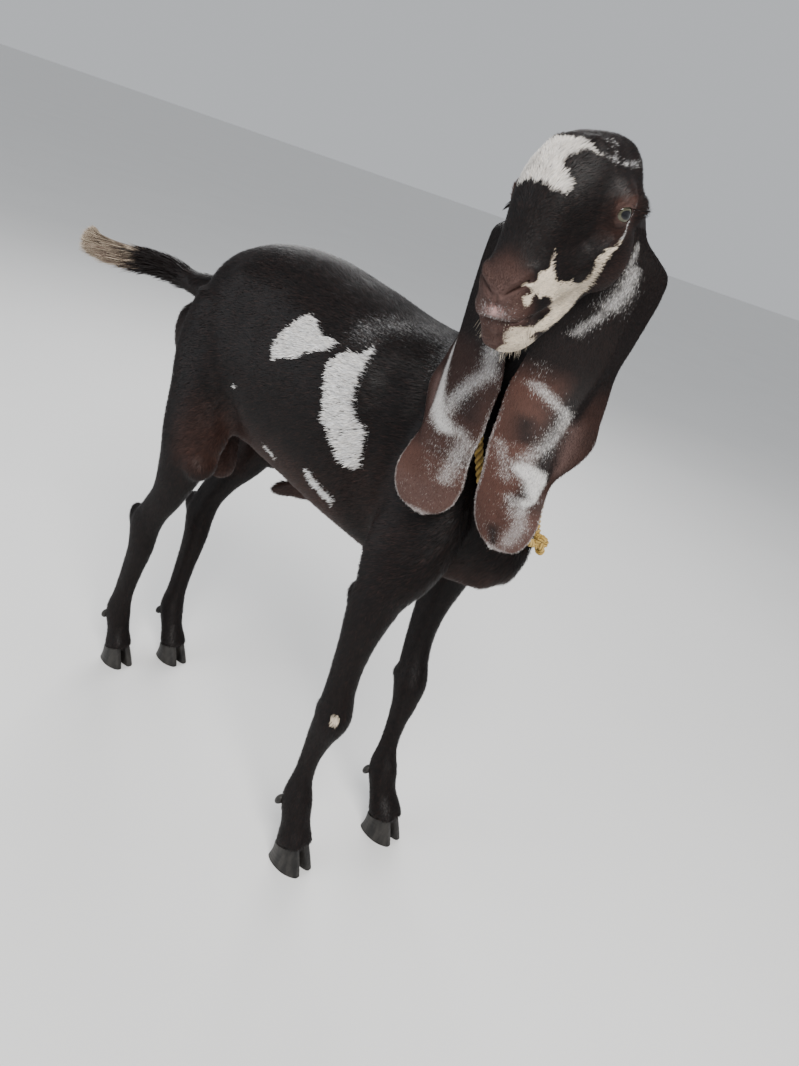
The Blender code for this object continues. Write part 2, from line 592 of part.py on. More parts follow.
def boolean(obj, cutter, operation="DIFFERENCE"):
    """Apply one exact boolean and drop the cutter."""
    cut = obj.modifiers.new("cut", "BOOLEAN")
    cut.operation = operation
    cut.solver = "EXACT"
    cut.object = cutter
    apply_modifiers(obj)
    bpy.data.objects.remove(cutter, do_unlink=True)


def fuse(obj, shapes):
    """Unite an object with closed shapes in one exact boolean."""
    group = bpy.data.collections.new(obj.name + "_pieces")
    for index, (verts, faces) in enumerate(shapes):
        piece = make_object(obj.name + "_piece_" + str(index), verts, faces)
        bpy.context.scene.collection.objects.unlink(piece)
        group.objects.link(piece)
    bpy.context.scene.collection.children.link(group)
    join = obj.modifiers.new("join", "BOOLEAN")
    join.operation = "UNION"
    join.solver = "EXACT"
    join.operand_type = "COLLECTION"
    join.collection = group
    apply_modifiers(obj)
    for piece in list(group.objects):
        bpy.data.objects.remove(piece, do_unlink=True)
    bpy.data.collections.remove(group)
    keep_largest(obj)
    outward(obj)


def slab(centre, normal, size, thick=GAP, up=(0.0, 0.0, 1.0)):
    """Thin box across a normal that parts two nodes."""
    n = unit(normal)
    a = np.cross(n, unit(up))
    if np.linalg.norm(a) < 0.1:
        a = np.cross(n, (0.0, 1.0, 0.0))
    a = unit(a)
    b = np.cross(n, a)
    corners = []
    for k in (-0.5, 0.5):
        for i, j in ((-1, -1), (1, -1), (1, 1), (-1, 1)):
            corners.append(np.asarray(centre) + a * i * size[0] / 2 + b * j * size[1] / 2 + n * k * thick)
    faces = [(0, 1, 2, 3), (7, 6, 5, 4), (0, 4, 5, 1), (1, 5, 6, 2), (2, 6, 7, 3), (3, 7, 4, 0)]
    return np.array(corners), faces


def coronet_block(foot):
    """Block under the coronet plane of one foot."""
    x, y, z, _, _ = FEET[foot]
    corners = []
    for dz in (-0.05, 0.0):
        for i, j in ((-1, -1), (1, -1), (1, 1), (-1, 1)):
            yy = y + j * 0.055
            top = z - CORONET_SLOPE * (yy - y) if dz == 0.0 else -0.02
            corners.append((x + i * 0.045, yy, top))
    faces = [(0, 3, 2, 1), (4, 5, 6, 7), (0, 1, 5, 4), (1, 2, 6, 5), (2, 3, 7, 6), (3, 0, 4, 7)]
    return np.array(corners), faces


def claw(foot, side):
    """One claw with a flat sole, a sloping wall and a flat top just under the coronet."""
    x, y, z, half, length = FEET[foot]
    toe, heel = y - 0.62 * length, y + 0.42 * length
    levels, spokes = 4, 18
    rows = []
    angle = np.linspace(0.0, 2 * math.pi, spokes, endpoint=False)
    for level in np.linspace(0.0, 1.0, levels):
        front = toe + level * 0.33 * length
        back = heel - level * 0.04 * length - 0.03 * length * math.sin(math.pi * level)
        width = half * (1.0 - 0.10 * level)
        ease_in = 0.94 if level == 0.0 else 1.0
        along = -np.cos(angle)
        yy = (front + back) / 2 + along * (back - front) / 2 * ease_in
        taper = 1.0 - 0.32 * np.clip(-along, 0.0, 1.0) ** 2.2 - 0.14 * np.clip(along, 0.0, 1.0) ** 3
        across = np.sin(angle)
        inner = np.clip(-across, 0.0, 1.0) ** 0.42
        outer = np.clip(across, 0.0, 1.0) ** 0.72
        reach = np.where(across > 0, outer * 0.5, -inner * 0.5) * width * taper * ease_in
        hook = 0.0025 * np.clip(-along, 0.0, 1.0) ** 2
        xx = x + side * (CLEFT + width / 2 + 0.0015 * (1 - level) + reach - hook)
        roof = z - CORONET_SLOPE * (yy - y) - GAP
        rows.append(np.stack((xx, yy, roof * level), 1))
    points = np.concatenate(rows)
    low, high = rows[0].mean(axis=0), rows[-1].mean(axis=0)
    points = np.concatenate((points, low[None], high[None]))
    return points, ring_faces(levels, spokes)


def ear_sheet(side, rows_count=25, across=9):
    """Middle surface of one ear as a grid of points, root first."""
    table = np.array(EAR)
    drop = table[:, 0]
    grid_rows = []
    forward = np.array((-math.sin(EAR_TURN), -math.cos(EAR_TURN), 0.0))
    out = np.array((math.cos(EAR_TURN), -math.sin(EAR_TURN), 0.0)) * side
    hung = np.array(EAR_LINE[side])
    base = to_world((EAR_BASE[0], side * EAR_BASE[1], EAR_BASE[2]))
    t = np.linspace(0.0, 1.0, rows_count)
    t = t + 0.10 * np.sin(2 * math.pi * t) / (2 * math.pi)
    want = drop[0] + (drop[-1] - drop[0]) * (1 - (1 - t) ** 1.15)
    cols = np.stack([np.interp(want, drop, table[:, c]) for c in range(1, 7)], 1)
    for d, (iw, jf, cw, cf, ow, of) in zip(want, cols):
        spread = EAR_SPREAD[side] + (1.0 - EAR_SPREAD[side]) * min(max(d / 0.14, 0.0), 1.0)
        inner, crease, outer = np.array((iw, jf)), np.array((cw, cf)), np.array((ow * spread, of))
        v = np.linspace(-1.0, 1.0, across)
        line = np.where(v[:, None] < 0, crease + (inner - crease) * -v[:, None],
                        crease + (outer - crease) * v[:, None])
        bow = np.clip(1 - (2 * np.abs(v) - 1) ** 2, 0.0, 1.0)[:, None]
        panel = unit(np.array((-(inner - crease)[1], (inner - crease)[0])))
        line = line + bow * np.where(v[:, None] < 0, panel * -0.0022, 0.0)
        hold = 1.0 - min(max(d / 0.075, 0.0), 1.0)
        root = hung + (base - hung) * hold**2 * (3.0 - 2.0 * hold)
        world = root + line[:, :1] * out + line[:, 1:] * forward + np.array((0.0, 0.0, -d))
        grid_rows.append(world)
    return np.array(grid_rows)


def ear(side):
    """Ear shell: the sheet given a thickness that thins toward its rim and tip."""
    sheet = ear_sheet(side)
    n, m = sheet.shape[:2]
    du, dv = np.gradient(sheet, axis=0), np.gradient(sheet, axis=1)
    normal = unit(np.cross(du, dv)) * side
    t = np.linspace(0.0, 1.0, n)[:, None]
    v = np.abs(np.linspace(-1.0, 1.0, m))[None, :]
    thick = (EAR_THICK + (EAR_TIP_THICK - EAR_THICK) * t) * (1.0 - 0.35 * v**4)
    thick = thick + 0.0012 * np.exp(-t * 14.0)
    front, back = sheet + normal * thick[..., None] / 2, sheet - normal * thick[..., None] / 2
    verts = np.concatenate((front.reshape(-1, 3), back.reshape(-1, 3)))
    size = n * m
    faces = []
    for i in range(n - 1):
        for j in range(m - 1):
            a, b, c, d = i * m + j, i * m + j + 1, (i + 1) * m + j + 1, (i + 1) * m + j
            faces += [(a, b, c), (a, c, d), (size + a, size + c, size + b), (size + a, size + d, size + c)]
    rim = [j for j in range(m)] + [i * m + m - 1 for i in range(1, n)]
    rim += [(n - 1) * m + j for j in range(m - 2, -1, -1)] + [i * m for i in range(n - 2, 0, -1)]
    for a, b in zip(rim, rim[1:] + rim[:1]):
        faces.append((a, size + a, size + b, b))
    return verts, faces


def inflated(obj, amount):
    """Copy of an object grown along its normals."""
    mesh = obj.data.copy()
    grown = bpy.data.objects.new(obj.name + "_grown", mesh)
    bpy.context.scene.collection.objects.link(grown)
    set_coords(grown, coords(obj) + normals(obj) * amount)
    return grown


def islands(obj):
    """Closed pieces of a mesh as point and face lists, largest first."""
    bm = bmesh.new()
    bm.from_mesh(obj.data)
    bm.faces.ensure_lookup_table()
    seen, out = set(), []
    for start in bm.faces:
        if start.index in seen:
            continue
        stack, piece = [start], []
        seen.add(start.index)
        while stack:
            face = stack.pop()
            piece.append(face)
            for edge in face.edges:
                for other in edge.link_faces:
                    if other.index not in seen:
                        seen.add(other.index)
                        stack.append(other)
        index = {}
        faces = []
        for face in piece:
            faces.append([index.setdefault(v.index, len(index)) for v in face.verts])
        bm.verts.ensure_lookup_table()
        points = np.array([bm.verts[i].co[:] for i in index])
        out.append((points, faces))
    bm.free()
    out.sort(key=lambda piece: -len(piece[0]))
    return out


def keep_largest(obj):
    """Drop every closed piece but the largest."""
    points, faces = islands(obj)[0]
    mesh = bpy.data.meshes.new(obj.name)
    mesh.from_pydata(points.tolist(), [], faces)
    for material in obj.data.materials:
        mesh.materials.append(material)
    old = obj.data
    obj.data = mesh
    bpy.data.meshes.remove(old)


def cut_nodes(skin):
    """Part the skin into body nodes by thin slabs and name them by where they lie."""
    slabs = [
        slab(to_world((-0.043, 0.0, -0.052)), unit(AXES[0] + AXES[2]), (0.17, 0.20), up=AXES[0] - AXES[2]),
        slab((-0.002, -0.585, 0.775), (0.0, -0.584, 0.812), (0.19, 0.24)),
        slab((0.000, 0.062, 0.737), (-0.10, 0.98, 0.05), (0.09, 0.09)),
        slab((0.000, -0.080, 0.518), (0.0, 0.0, 1.0), (0.056, 0.060)),
    ]
    for s in (-1.0, 1.0):
        slabs.append(slab((s * 0.095, -0.520, 0.522), (s * 0.60, 0.0, -0.80), (0.190, 0.240), up=(0, 1, 0)))
        slabs.append(slab((s * 0.100, -0.062, 0.544), (s * 0.62, 0.25, -0.74), (0.180, 0.270), up=(0, 1, 0)))
    blocks = [coronet_block(foot) for foot in FEET]
    verts, faces = join_parts(slabs + blocks)
    boolean(skin, make_object("slabs", verts, faces))
    places = {
        "head": to_world((0.03, 0.0, -0.02)), "neck": (-0.03, -0.60, 0.88), "torso": (0.0, -0.30, 0.70),
        "tail": (-0.02, 0.13, 0.735), "scrotum": (0.0, -0.08, 0.48),
        "foreleg_right": (-0.09, -0.51, 0.30), "foreleg_left": (0.09, -0.52, 0.30),
        "hindleg_right": (-0.07, -0.01, 0.30), "hindleg_left": (0.07, 0.0, 0.30),
    }
    made = {}
    for points, faces in islands(skin):
        if len(points) < 12:
            continue
        middle = (points.min(axis=0) + points.max(axis=0)) / 2
        name = min(places, key=lambda n: np.linalg.norm(middle - np.asarray(places[n])))
        if name in made:
            continue
        made[name] = make_object(name, points, faces)
    bpy.data.objects.remove(skin, do_unlink=True)
    return made


def seat_ears(head, neck):
    """Ears cut where they would enter the head or the neck."""
    for side, name in ((1.0, "ear_left"), (-1.0, "ear_right")):
        verts, faces = ear(side)
        piece = make_object(name, verts, faces, "ear_skin")
        for host in (head, neck):
            boolean(piece, inflated(host, GAP))
        keep_largest(piece)
        outward(piece)


def seat_eyes(head):
    """Eyeballs and the sockets they sit in."""
    for side, name in ((1.0, "eye_left"), (-1.0, "eye_right")):
        centre = to_world((EYE_PLACE[0], side * EYE_PLACE[1], EYE_PLACE[2]))
        look = unit((EYE_LOOK[0], side * EYE_LOOK[1], EYE_LOOK[2]))
        ahead = unit(np.array((1.0, 0.0, -0.12)) - look[0] * look)
        axes = np.array((ahead, look, np.cross(ahead, look))) @ AXES
        verts, faces = ball(centre, (EYE_RADIUS + GAP,) * 3, AXES, 10, 18)
        boolean(head, make_object("socket", verts, faces))
        verts, faces = ball(centre + look @ AXES * EYE_RADIUS, EYE_OPENING, axes, 9, 16)
        boolean(head, make_object("opening", verts, faces))
        verts, faces = ball(centre, (EYE_RADIUS,) * 3, AXES, 10, 18)
        make_object(name, verts, faces, "eye")
    keep_largest(head)
    outward(head)


def lock(line, flat, width, thick):
    """Flat tapered lock along a line of points, its sections diamonds that close to a tip."""
    count = len(line)
    t = np.linspace(0.0, 1.0, count)
    tangent = unit(np.gradient(line, axis=0))
    flat = unit(flat - np.sum(flat * tangent, 1, keepdims=True) * tangent)
    lift = np.cross(tangent, flat)
    half = (width / 2 * (0.75 + t - 1.55 * t**2))[:, None]
    rise = (thick / 2 * (1.0 - 0.80 * t))[:, None]
    rings = np.stack((line + flat * half, line + lift * rise, line - flat * half, line - lift * rise), 1)
    tip = line[-1] + tangent[-1] * width * 0.25
    return np.concatenate((rings.reshape(-1, 3), line[:1], tip[None])), ring_faces(count, 4)


def tail_frame(share):
    """Centre, half side, half depth, side way and up way of the tail at shares of its length."""
    table = resample(TAIL, 80)
    at = np.clip(share, 0.0, 1.0) * 79.0
    row = np.stack([np.interp(at, np.arange(80), table[:, c]) for c in range(5)], 1)
    tangent = np.stack([np.interp(at, np.arange(80), c) for c in np.gradient(table[:, :3], axis=0).T], 1)
    side = unit(np.cross(unit(tangent), (0.0, 0.0, 1.0)))
    return row[:, :3], row[:, 3], row[:, 4], side, np.cross(side, unit(tangent))


def tail_locks():
    """Locks of the brush at the tip and of the fringe under the tail."""
    shapes = []
    for n in range(BRUSH_LOCKS):
        turn = n * 2.399963
        start = 0.60 + 0.20 * ((n * 0.618034) % 1.0)
        end = 0.90 + 0.095 * ((n * 0.445042) % 1.0)
        share = np.linspace(start, end, 4)
        centre, a, b, side, up = tail_frame(share)
        out = np.linspace(0.45, 0.92, 4) if n % 3 else np.linspace(0.45, 0.60, 4)
        ways = side * math.cos(turn) + up * math.sin(turn)
        reach = (side * (a * out * math.cos(turn))[:, None] + up * (b * out * math.sin(turn))[:, None])
        shapes.append(lock(centre + reach, np.cross(ways, np.gradient(centre, axis=0)), 0.0125, 0.0040))
    for n in range(FRINGE_LOCKS):
        start = 0.27 + 0.40 * n / FRINGE_LOCKS
        turn = -math.pi / 2 + 0.55 * math.sin(n * 2.4)
        share = np.linspace(start, start + 0.10, 3)
        centre, a, b, side, up = tail_frame(share)
        out = np.array((0.45, 1.02, 1.20))
        ways = side * math.cos(turn) + up * math.sin(turn)
        reach = (side * (a * out * math.cos(turn))[:, None] + up * (b * out * math.sin(turn))[:, None])
        shapes.append(lock(centre + reach, np.cross(ways, np.gradient(centre, axis=0)), 0.0105, 0.0036))
    return shapes


def dewclaws(made):
    """Two small horny knobs behind each fetlock."""
    spots = {"foreleg_right": (-0.087, -0.474, 0.098), "foreleg_left": (0.087, -0.505, 0.098),
             "hindleg_right": (-0.051, 0.069, 0.088), "hindleg_left": (0.051, 0.040, 0.088)}
    for leg, (x, y, z) in spots.items():
        for step, label in ((-1.0, "a"), (1.0, "b")):
            verts, faces = ball((x + step * 0.0125, y, z), (0.0105, 0.0085, 0.0070),
                                np.array(((0, 0.35, -0.94), (1, 0, 0), (0, 0.94, 0.35))), 5, 10)
            piece = make_object("dewclaw_" + leg + "_" + label, verts, faces, "horn")
            boolean(piece, inflated(made[leg], GAP))
            keep_largest(piece)
            outward(piece)


def claws():
    """Two claws on each foot."""
    for foot in FEET:
        for side, label in ((-1.0, "a"), (1.0, "b")):
            verts, faces = claw(foot, side)
            make_object("claw_" + foot + "_" + label, verts, faces, "horn")


def heights(points, hosts):
    """Height of points over the nearest of some surfaces, and the way out there."""
    high, ways = [], []
    for point in points:
        near = []
        for host in hosts:
            _, place, normal, _ = host.closest_point_on_mesh(Vector(point))
            away = point - np.array(place)
            near.append((np.linalg.norm(away), float(away @ np.array(normal)), tuple(normal)))
        _, height, normal = min(near)
        high.append(height)
        ways.append(normal)
    return np.array(high), np.array(ways)


def collar(made):
    """Rope ring resting on the base of the neck."""
    hosts = (made["neck"], made["torso"])
    count = 48
    loop = np.array(COLLAR_LINE)
    turns = resample(np.concatenate((loop, loop, loop[:1])), 2 * count + 1)
    path = np.roll(turns[count // 2:count // 2 + count], count // 2, axis=0)
    for _ in range(3):
        height, side = heights(path, hosts)
        path = path - side * height[:, None]
        path = (np.roll(path, 1, axis=0) + 2.0 * path + np.roll(path, -1, axis=0)) / 4.0
    for _ in range(6):
        height, side = heights(path, hosts)
        between, _ = heights((path + np.roll(path, -1, axis=0)) / 2.0, hosts)
        lack = COLLAR_RADIUS + 2.0 * GAP - np.minimum(height, np.minimum(between, np.roll(between, 1)))
        path = path + side * np.maximum(lack, 0.0)[:, None]
    tangent = unit(np.roll(path, -1, axis=0) - np.roll(path, 1, axis=0))
    side = unit(side - np.sum(side * tangent, 1, keepdims=True) * tangent)
    across = np.cross(tangent, side)
    spokes = 6
    turn = np.linspace(0.0, 2 * math.pi, spokes, endpoint=False)
    rings = (path[:, None] + COLLAR_RADIUS * (np.cos(turn)[None, :, None] * side[:, None]
             + np.sin(turn)[None, :, None] * across[:, None]))
    verts = rings.reshape(-1, 3)
    faces = []
    for i in range(count):
        for j in range(spokes):
            k, m = (i + 1) % count, (j + 1) % spokes
            faces.append((i * spokes + j, i * spokes + m, k * spokes + m, k * spokes + j))
    rope = make_object("collar", verts, faces, "rope")
    turns = []
    for step, lean in ((-0.006, 0.5), (0.006, -0.5)):
        axes = np.array((unit(tangent[0] + lean * across[0]), unit(across[0] - lean * tangent[0]), side[0]))
        centre = path[0] + tangent[0] * step + side[0] * 0.0055
        turns.append(ball(centre, (0.0080, 0.0125, 0.0095), axes, 5, 10))
    fuse(rope, turns)


def main():
    """Build every node of the animal."""
    for old in list(bpy.data.objects):
        bpy.data.objects.remove(old, do_unlink=True)
    skin = build_skin()
    made = cut_nodes(skin)
    fuse(made["tail"], tail_locks())
    seat_ears(made["head"], made["neck"])
    cut_face(made["head"])
    seat_eyes(made["head"])
    claws()
    dewclaws(made)
    collar(made)
    for obj in bpy.data.objects:
        set_coords(obj, coords(obj) + np.array(FRAME_SHIFT))


main()
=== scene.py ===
"""Looks of a young beetal goat, life size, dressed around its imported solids.

Metres, +Z up. The animal faces -Y, its left side is +X and its soles stand on z = 0.
Forms are worked out in the animal's own frame and moved by FRAME_SHIFT as they become meshes.
"""

import logging
import math
from dataclasses import dataclass, field
from enum import Enum

import bmesh
import bpy
import numpy as np
from mathutils import Matrix, Vector
from mathutils.bvhtree import BVHTree


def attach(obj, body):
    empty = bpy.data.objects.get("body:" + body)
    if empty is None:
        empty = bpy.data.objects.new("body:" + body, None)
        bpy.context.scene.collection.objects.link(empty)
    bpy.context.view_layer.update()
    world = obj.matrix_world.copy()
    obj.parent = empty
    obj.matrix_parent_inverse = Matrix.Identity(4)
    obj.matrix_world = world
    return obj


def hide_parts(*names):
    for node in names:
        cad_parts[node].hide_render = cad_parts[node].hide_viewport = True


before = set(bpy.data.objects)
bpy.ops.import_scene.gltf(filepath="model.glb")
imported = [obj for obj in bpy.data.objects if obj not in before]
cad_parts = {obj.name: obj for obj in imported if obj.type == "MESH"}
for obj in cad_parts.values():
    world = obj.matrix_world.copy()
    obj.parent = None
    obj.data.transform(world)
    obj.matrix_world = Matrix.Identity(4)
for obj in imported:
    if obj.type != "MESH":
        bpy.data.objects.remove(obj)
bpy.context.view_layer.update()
LOG = logging.getLogger("goat")

FRAME_SHIFT = np.array((0.0725, 0.2117, 0.0))
Rows = tuple
Shape = tuple


class Side(Enum):
    """Side of the animal, its value the sign of x in the head frame."""

    LEFT = 1.0
    RIGHT = -1.0


class Zone(Enum):
    """Region of the coat, its value the name of its piece."""

    HEAD = "coat_head"
    NECK = "coat_neck"
    FLANK_RIGHT = "coat_flank_right"
    FLANK_LEFT = "coat_flank_left"
    LEGS_RIGHT = "coat_legs_right"
    LEGS_LEFT = "coat_legs_left"
    TAIL = "coat_tail"


ZONE_SLOT = {Zone.HEAD: "head", Zone.NECK: "neck", Zone.FLANK_RIGHT: "torso", Zone.FLANK_LEFT: "torso",
             Zone.LEGS_RIGHT: "foreleg_right", Zone.LEGS_LEFT: "foreleg_left", Zone.TAIL: "tail"}


# ------------------------------------------------------------------ shape helpers


def unit(v: np.ndarray) -> np.ndarray:
    """Vectors divided by their length."""
    v = np.asarray(v, float)
    return v / np.maximum(np.linalg.norm(v, axis=-1, keepdims=True), 1e-12)


def ramp(x: np.ndarray, low: float, high: float) -> np.ndarray:
    """Smooth step from 0 at low to 1 at high: t squared times three minus two t."""
    t = np.clip((np.asarray(x, float) - low) / (high - low), 0.0, 1.0)
    return t * t * (3.0 - 2.0 * t)


def cell_noise(points: np.ndarray, size: float, seed: float = 0.0) -> np.ndarray:
    """Random number for the cube of a given size that each point lies in.

    Args:
        points: positions.
        size: edge of a cube.
        seed: number that changes the pattern.
    Returns:
        The fractional part of a large multiple of the sine of a weighted sum of cell numbers.
    """
    cell = np.floor(points / size)
    return np.mod(np.sin(cell @ np.array((12.9898, 78.233, 37.719)) + seed) * 43758.5453, 1.0)


def wave_noise(points: np.ndarray, size: float, seed: float = 0.0) -> np.ndarray:
    """Smooth field from -1 to 1, the mean of sines of four slanted waves of about a given length."""
    total = np.zeros(len(points))
    for k in range(4):
        way = np.array((math.sin(seed + k * 2.1), math.cos(seed * 1.7 + k * 1.3), math.sin(seed * 0.6 + k * 3.7)))
        total += np.sin(points @ unit(way) * (2 * math.pi / (size * (0.8 + 0.23 * k))) + seed * 5 + k * 1.9)
    return total / 4.0


def resample(rows: Rows, count: int) -> np.ndarray:
    """Rows of a table on a cubic Hermite curve at even steps of length.

    Args:
        rows: table whose first three columns are positions.
        count: number of rows wanted.
    Returns:
        The new table.
    """
    rows = np.asarray(rows, float)
    steps = np.linalg.norm(np.diff(rows[:, :3], axis=0), axis=1)
    at = np.concatenate(([0.0], np.cumsum(steps)))
    return hermite(at, rows, np.linspace(0.0, at[-1], count))


def hermite(at: np.ndarray, rows: np.ndarray, want: np.ndarray) -> np.ndarray:
    """Rows of a table between its own, on cubic pieces that keep their slopes where they meet.

    Args:
        at: place of each row, rising.
        rows: the table.
        want: places wanted.
    Returns:
        One row for each place.
    """
    slopes = np.gradient(rows, at, axis=0)
    i = np.clip(np.searchsorted(at, want, side="right") - 1, 0, len(at) - 2)
    h = (at[i + 1] - at[i])[:, None]
    t = ((want - at[i]) / (at[i + 1] - at[i]))[:, None]
    a, b = rows[i], rows[i + 1]
    return ((2 * t**3 - 3 * t**2 + 1) * a + (t**3 - 2 * t**2 + t) * h * slopes[i]
            + (3 * t**2 - 2 * t**3) * b + (t**3 - t**2) * h * slopes[i + 1])


def ring_faces(rings: int, spokes: int) -> list:
    """Quads between neighbouring rings, with a fan to an end point at either end."""
    i, j = np.meshgrid(np.arange(rings - 1), np.arange(spokes), indexing="ij")
    k = (j + 1) % spokes
    quads = np.stack((i * spokes + j, i * spokes + k, (i + 1) * spokes + k, (i + 1) * spokes + j), -1)
    n = np.arange(spokes)
    m = (n + 1) % spokes
    first = np.stack((np.full(spokes, rings * spokes), m, n), 1)
    base = (rings - 1) * spokes
    last = np.stack((np.full(spokes, rings * spokes + 1), base + n, base + m), 1)
    return quads.reshape(-1, 4).tolist() + first.tolist() + last.tolist()


def tube(rows: Rows, rings: int, spokes: int, side: Rows = (1.0, 0.0, 0.0), power: float = 2.0,
         pinch: tuple = (0.0, 0.0)) -> Shape:
    """Closed tube of superellipse sections along a curve.

    The section is centre + side * a * |cos|^(2/power) + third * b * |sin|^(2/power), narrowed on
    one side by the pinch.

    Args:
        rows: table of centre, half side, half depth and maybe the turn of the section in degrees.
        rings: number of sections.
        spokes: points in a section.
        side: the way of the half side, made square to the curve.
        power: exponent of the superellipse.
        pinch: narrowing at the first and the last section.
    Returns:
        Points and faces.
    """
    table = resample(rows, rings)
    centre = table[:, :3]
    tangent = unit(np.gradient(centre, axis=0))
    side = np.broadcast_to(np.asarray(side, float), centre.shape)
    if table.shape[1] > 5:
        turn = np.radians(table[:, 5])
        side = np.stack((np.cos(turn), -np.sin(turn), np.zeros_like(turn)), 1)
    side = unit(side - np.sum(side * tangent, 1, keepdims=True) * tangent)
    third = np.cross(tangent, side)
    angle = np.linspace(0.0, 2 * math.pi, spokes, endpoint=False)
    c, s = np.cos(angle), np.sin(angle)
    c = np.sign(c) * np.abs(c) ** (2.0 / power)
    s = np.sign(s) * np.abs(s) ** (2.0 / power)
    c = c * (1.0 - np.linspace(*pinch, rings)[:, None] * s)
    points = (centre[:, None, :] + side[:, None, :] * (table[:, 3, None, None] * c[:, :, None])
              + third[:, None, :] * (table[:, 4, None, None] * s[None, :, None]))
    return np.concatenate((points.reshape(-1, 3), centre[:1], centre[-1:])), ring_faces(rings, spokes)


def ball(centre: Rows, radii: Rows, axes: np.ndarray = np.eye(3), rings: int = 12, spokes: int = 18) -> Shape:
    """Ellipsoid: sines and cosines of two angles times three radii along three axes."""
    phi = np.linspace(0.0, math.pi, rings + 2)[1:-1]
    theta = np.linspace(0.0, 2 * math.pi, spokes, endpoint=False)
    points = np.stack((np.outer(np.cos(phi), np.ones(spokes)), np.outer(np.sin(phi), np.cos(theta)),
                       np.outer(np.sin(phi), np.sin(theta))), -1).reshape(-1, 3)
    points = np.concatenate((points, ((1.0, 0, 0), (-1.0, 0, 0))))
    return np.asarray(centre, float) + (points * np.asarray(radii, float)) @ np.asarray(axes, float), \
        ring_faces(rings, spokes)


def join_shapes(shapes: list) -> Shape:
    """One list of points and one of faces for several shapes."""
    verts, faces, base = [], [], 0
    for points, sides in shapes:
        verts.append(points)
        faces.extend(tuple(i + base for i in face) for face in sides)
        base += len(points)
    return np.concatenate(verts), faces


def signed_distance(points: np.ndarray, outline: Rows) -> np.ndarray:
    """Distance of points of a plane to a closed outline, above zero inside.

    Args:
        points: two columns.
        outline: corners in order.
    Returns:
        The least distance to a side, its sign from the even-odd rule on crossed sides.
    """
    corners = np.asarray(outline, float)
    best = np.full(len(points), 1.0)
    inside = np.zeros(len(points), bool)
    for a, b in zip(corners, np.roll(corners, -1, axis=0)):
        along = b - a
        t = np.clip(((points - a) @ along) / max(along @ along, 1e-12), 0.0, 1.0)
        best = np.minimum(best, np.hypot(*(points - a - t[:, None] * along).T))
        if a[1] != b[1]:
            cross = (points[:, 1] < a[1]) != (points[:, 1] < b[1])
            inside ^= cross & (points[:, 0] < a[0] + (points[:, 1] - a[1]) / (b[1] - a[1]) * along[0])
    return np.where(inside, best, -best)


def near_path(points: np.ndarray, path: Rows, width: float) -> np.ndarray:
    """Bell of the distance to a broken line: e to the minus squared distance over squared width."""
    path = np.asarray(path, float)
    best = np.full(len(points), 1e9)
    pairs = zip(path[:-1], path[1:]) if len(path) > 1 else ((path[0], path[0]),)
    for a, b in pairs:
        along = b - a
        t = np.clip((points - a) @ along / max(along @ along, 1e-12), 0.0, 1.0)
        best = np.minimum(best, np.linalg.norm(points - a - t[:, None] * along, axis=1))
    return np.exp(-((best / width) ** 2))


def near_spot(points: np.ndarray, centre: Rows, radii: Rows) -> np.ndarray:
    """Bell around a centre that falls off by its own radius along each axis."""
    return np.exp(-np.sum(((points - np.asarray(centre)) / np.asarray(radii)) ** 2, axis=1))


# ------------------------------------------------------------------ meshes


def new_object(name: str, verts: np.ndarray, faces: list) -> bpy.types.Object:
    """Mesh object whose faces point outward, in the animal's own frame."""
    mesh = bpy.data.meshes.new(name)
    mesh.from_pydata(np.asarray(verts, float).tolist(), [], faces)
    obj = bpy.data.objects.new(name, mesh)
    bpy.context.scene.collection.objects.link(obj)
    bm = bmesh.new()
    bm.from_mesh(mesh)
    bmesh.ops.recalc_face_normals(bm, faces=bm.faces[:])
    if bm.calc_volume(signed=True) < 0:
        bmesh.ops.reverse_faces(bm, faces=bm.faces[:])
    bm.to_mesh(mesh)
    bm.free()
    return obj


def triangle_object(name: str, verts: np.ndarray, tris: np.ndarray) -> bpy.types.Object:
    """Mesh object from arrays of points and triangles, in the model frame.

    Args:
        name: name of the piece.
        verts: points in the animal's own frame.
        tris: three point numbers a row.
    Returns:
        The object.
    """
    mesh = bpy.data.meshes.new(name)
    mesh.vertices.add(len(verts))
    mesh.vertices.foreach_set("co", (verts + FRAME_SHIFT).astype(np.float32).ravel())
    mesh.loops.add(tris.size)
    mesh.loops.foreach_set("vertex_index", tris.astype(np.int32).ravel())
    mesh.polygons.add(len(tris))
    mesh.polygons.foreach_set("loop_start", np.arange(0, tris.size, 3, dtype=np.int32))
    mesh.update(calc_edges=True)
    obj = bpy.data.objects.new(name, mesh)
    bpy.context.scene.collection.objects.link(obj)
    return obj


def coords(obj: bpy.types.Object) -> np.ndarray:
    """Positions of the points of a mesh."""
    out = np.empty(len(obj.data.vertices) * 3)
    obj.data.vertices.foreach_get("co", out)
    return out.reshape(-1, 3)


def set_coords(obj: bpy.types.Object, points: np.ndarray) -> None:
    """Write the positions of the points of a mesh."""
    obj.data.vertices.foreach_set("co", np.ascontiguousarray(points).ravel())
    obj.data.update()


def normals(obj: bpy.types.Object) -> np.ndarray:
    """Normals at the points of a mesh."""
    out = np.empty(len(obj.data.vertices) * 3)
    obj.data.vertices.foreach_get("normal", out)
    return out.reshape(-1, 3)


def apply_modifiers(obj: bpy.types.Object) -> None:
    """Replace a mesh by its evaluated one."""
    graph = bpy.context.evaluated_depsgraph_get()
    graph.update()
    mesh = bpy.data.meshes.new_from_object(obj.evaluated_get(graph))
    old = obj.data
    obj.modifiers.clear()
    obj.data = mesh
    bpy.data.meshes.remove(old)


